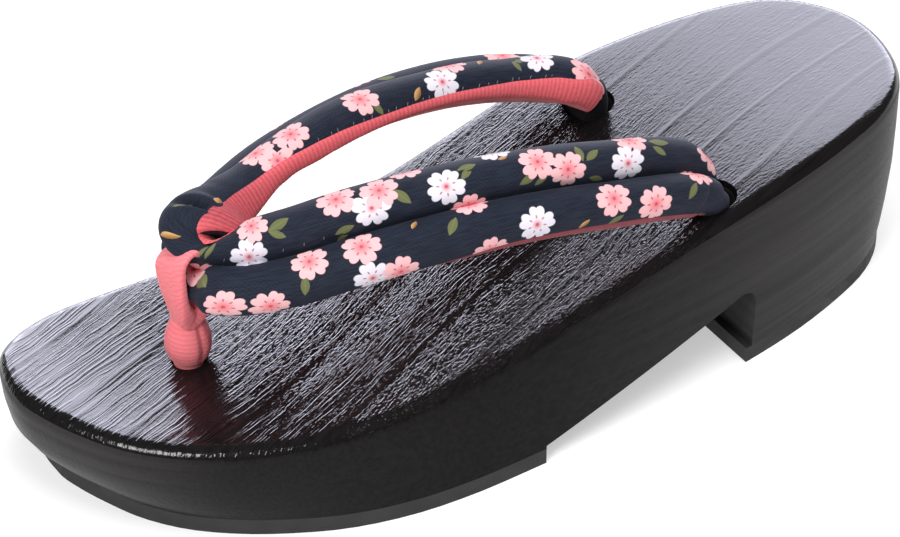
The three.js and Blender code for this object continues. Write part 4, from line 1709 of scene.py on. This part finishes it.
@dataclass
class Stitches:
    """Sewing thread that shows: ticks along the lining's border and loose turns in the groove."""

    form: StrapForm
    lining: Lining
    pitch: float = 3.2
    first: float = 44.0
    last: float = 112.0
    length: float = 0.9
    thread: float = 0.08
    # Degrees on the roll between a tick and the lining's border, and where the loose turns lie
    inside: float = 3.0
    loose_angle: float = -50.0
    loose: tuple[float, ...] = (-8.8, -22.4, -27.5, -32.2)

    def turn(self, bm: bmesh.types.BMesh, s: float, q: float, length: float) -> None:
        """Lay one turn of thread on the strap.

        Args:
            bm: the stitches' mesh.
            s: length from the nose.
            q: place round the section.
            length: how much of the thread shows.
        """
        points = []
        for place in (s - 0.3, s, s + 0.3):
            middle, across, outward, width, thick = self.form.frame(place)
            here = self.form.section(q, place, width, thick)
            points.append(middle + across * here.x + outward * here.y)
        normal = self.form.normal(q, s, width, thick)
        _, across, outward, _, _ = self.form.frame(s)
        lift = (across * normal.x + outward * normal.y).normalized()
        run = (points[2] - points[0]).normalized()
        side = lift.cross(run).normalized()
        slant = (side + 0.35 * run).normalized()
        basis = Matrix((slant, lift.cross(slant), lift)).transposed().to_4x4()
        shape = Matrix.Diagonal((length / 2, self.thread, self.thread, 1.0))
        place = Matrix.Translation(points[1] + lift * self.thread * 0.6)
        bmesh.ops.create_icosphere(bm, subdivisions=2, radius=1.0, matrix=place @ basis @ shape)

    def build(self, finish: SewingThread) -> bpy.types.Object:
        """Model the stitches.

        Args:
            finish: the thread.

        Returns:
            The piece.
        """
        bm = bmesh.new()
        for i in range(int((self.last - self.first) / self.pitch) + 1):
            s = self.first + i * self.pitch + 0.8 * math.sin(2.3 * i)
            place = self.form.roll_place(1, self.lining.border(s, 1) - self.inside)
            self.turn(bm, s, place, self.length * (1 + 0.25 * math.sin(4.1 * i)))
        for s in self.loose:
            self.turn(bm, s, self.form.roll_place(1, self.loose_angle), self.length)
        bmesh.ops.recalc_face_normals(bm, faces=bm.faces)
        piece = finish_piece(bm, "strap_stitches", finish.material(), 180)
        return piece


class Reach(Enum):
    """What a studio light shows in."""

    ALL = "all"
    SHEEN = "gloss alone"
    FILL = "matt surfaces alone"


@dataclass
class Studio:
    """Pale floor, soft lights and the camera at the photograph's angle."""

    eye: tuple[float, float, float] = (0.5104564, 0.7760335, 0.7235458)
    right: tuple[float, float, float] = (-0.84198, 0.53951, 0.00263)
    up: tuple[float, float, float] = (-0.32215, -0.50664, 0.79971)
    ahead: tuple[float, float, float] = (-0.43278, -0.67249, -0.60038)
    lens: float = 195.607
    # Where the lights point, the tint of those that show in gloss alone, and the air's own light
    aim: tuple[float, float, float] = (0.0, 0.0, 0.04)
    sheen_tint: tuple[float, float, float] = (0.92, 0.92, 1.1)
    air: float = 0.14

    def camera(self) -> None:
        """Stand the camera where the photograph was taken."""
        data = bpy.data.cameras.new("studio_camera")
        data.lens = self.lens
        data.sensor_width = 36.0
        data.sensor_fit = "HORIZONTAL"
        data.clip_start = 0.05
        data.clip_end = 30.0
        camera = into_scene("studio_camera", data)
        back = [-value for value in self.ahead]
        turn = Matrix((self.right, self.up, back)).transposed()
        camera.matrix_world = Matrix.Translation(self.eye) @ turn.to_4x4()
        bpy.context.scene.camera = camera

    def floor(self) -> None:
        """Lay the pale floor."""
        bm = bmesh.new()
        bmesh.ops.create_grid(bm, x_segments=4, y_segments=4, size=6.0)
        mesh = mesh_of(bm, "studio_floor")
        g = Graph("opal_light_table")
        opal = g.surface(
            {
                "Base Color": (0.6, 0.6, 0.6, 1.0),
                "Roughness": 0.9,
                "IOR": 1.2,
                "Emission Color": (1.0, 1.0, 1.0, 1.0),
                "Emission Strength": 0.5,
            }
        )
        mesh.materials.append(opal)
        floor = into_scene("studio_floor", mesh)

    def panel(
        self, name: str, place: Sequence[float], size: tuple[float, float], watts: float, reach: Reach
    ) -> None:
        """Hang a soft light that faces the sandal.

        Args:
            name: the light's name.
            place: where it hangs.
            size: its width and height.
            watts: its power.
            reach: what it lights.
        """
        data = bpy.data.lights.new(name, "AREA")
        data.shape = "RECTANGLE"
        data.size, data.size_y = size
        data.energy = watts
        data.color = self.sheen_tint if reach is Reach.SHEEN else (1.0, 1.0, 1.0)
        light = into_scene(name, data)
        way = Vector(self.aim) - Vector(place)
        turn = way.to_track_quat("-Z", "Y").to_matrix()
        light.matrix_world = Matrix.Translation(place) @ turn.to_4x4()
        light.visible_diffuse = reach is not Reach.SHEEN
        light.visible_glossy = reach is not Reach.FILL

    def build(self) -> None:
        """Set up the studio."""
        self.camera()
        self.floor()
        self.panel("back_panel", (-0.76, -1.18, 0.6), (2.4, 1.1), 72.0, Reach.SHEEN)
        self.panel("key_softbox", (1.5, 0.75, 1.45), (0.8, 0.8), 32.0, Reach.ALL)
        self.panel("top_softbox", (-0.2, 0.3, 2.2), (2.0, 2.0), 52.0, Reach.FILL)
        world = bpy.data.worlds.new("studio_air")
        world.use_nodes = True
        background = world.node_tree.nodes["Background"]
        background.inputs["Color"].default_value = (1.0, 1.0, 1.0, 1.0)
        background.inputs["Strength"].default_value = self.air
        bpy.context.scene.world = world
        bpy.context.scene.view_settings.view_transform = "Standard"


def main() -> None:
    """Build the sandal's pieces in order and report them."""
    logging.basicConfig(level=logging.INFO, format="%(name)s: %(message)s")
    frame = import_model()
    Studio().build()
    pieces = [Base().build(BrushedLacquer())]
    Soles().dress(frame, SpongeRubber())
    form = StrapForm()
    pieces.append(Strap(form).build(PrintedCotton()))
    lining = Lining(form)
    # Painted shade: the lining takes a darker copy of the loop's coral for the shade it lies in, and a deep
    # valley colour for its painted shade
    pieces.append(lining.build(RibbedCloth(name="shaded_coral_corded_lining", coral="ea6870", valley_shade="7c303b")))
    pieces.append(FrontLoop().build(RibbedCloth()))
    pieces.append(Stitches(form, lining).build(SewingThread()))
    for piece in pieces:
        piece.data.calc_loop_triangles()
        LOG.info("%s: %d triangles", piece.name, len(piece.data.loop_triangles))


if __name__ == "__main__":
    main()
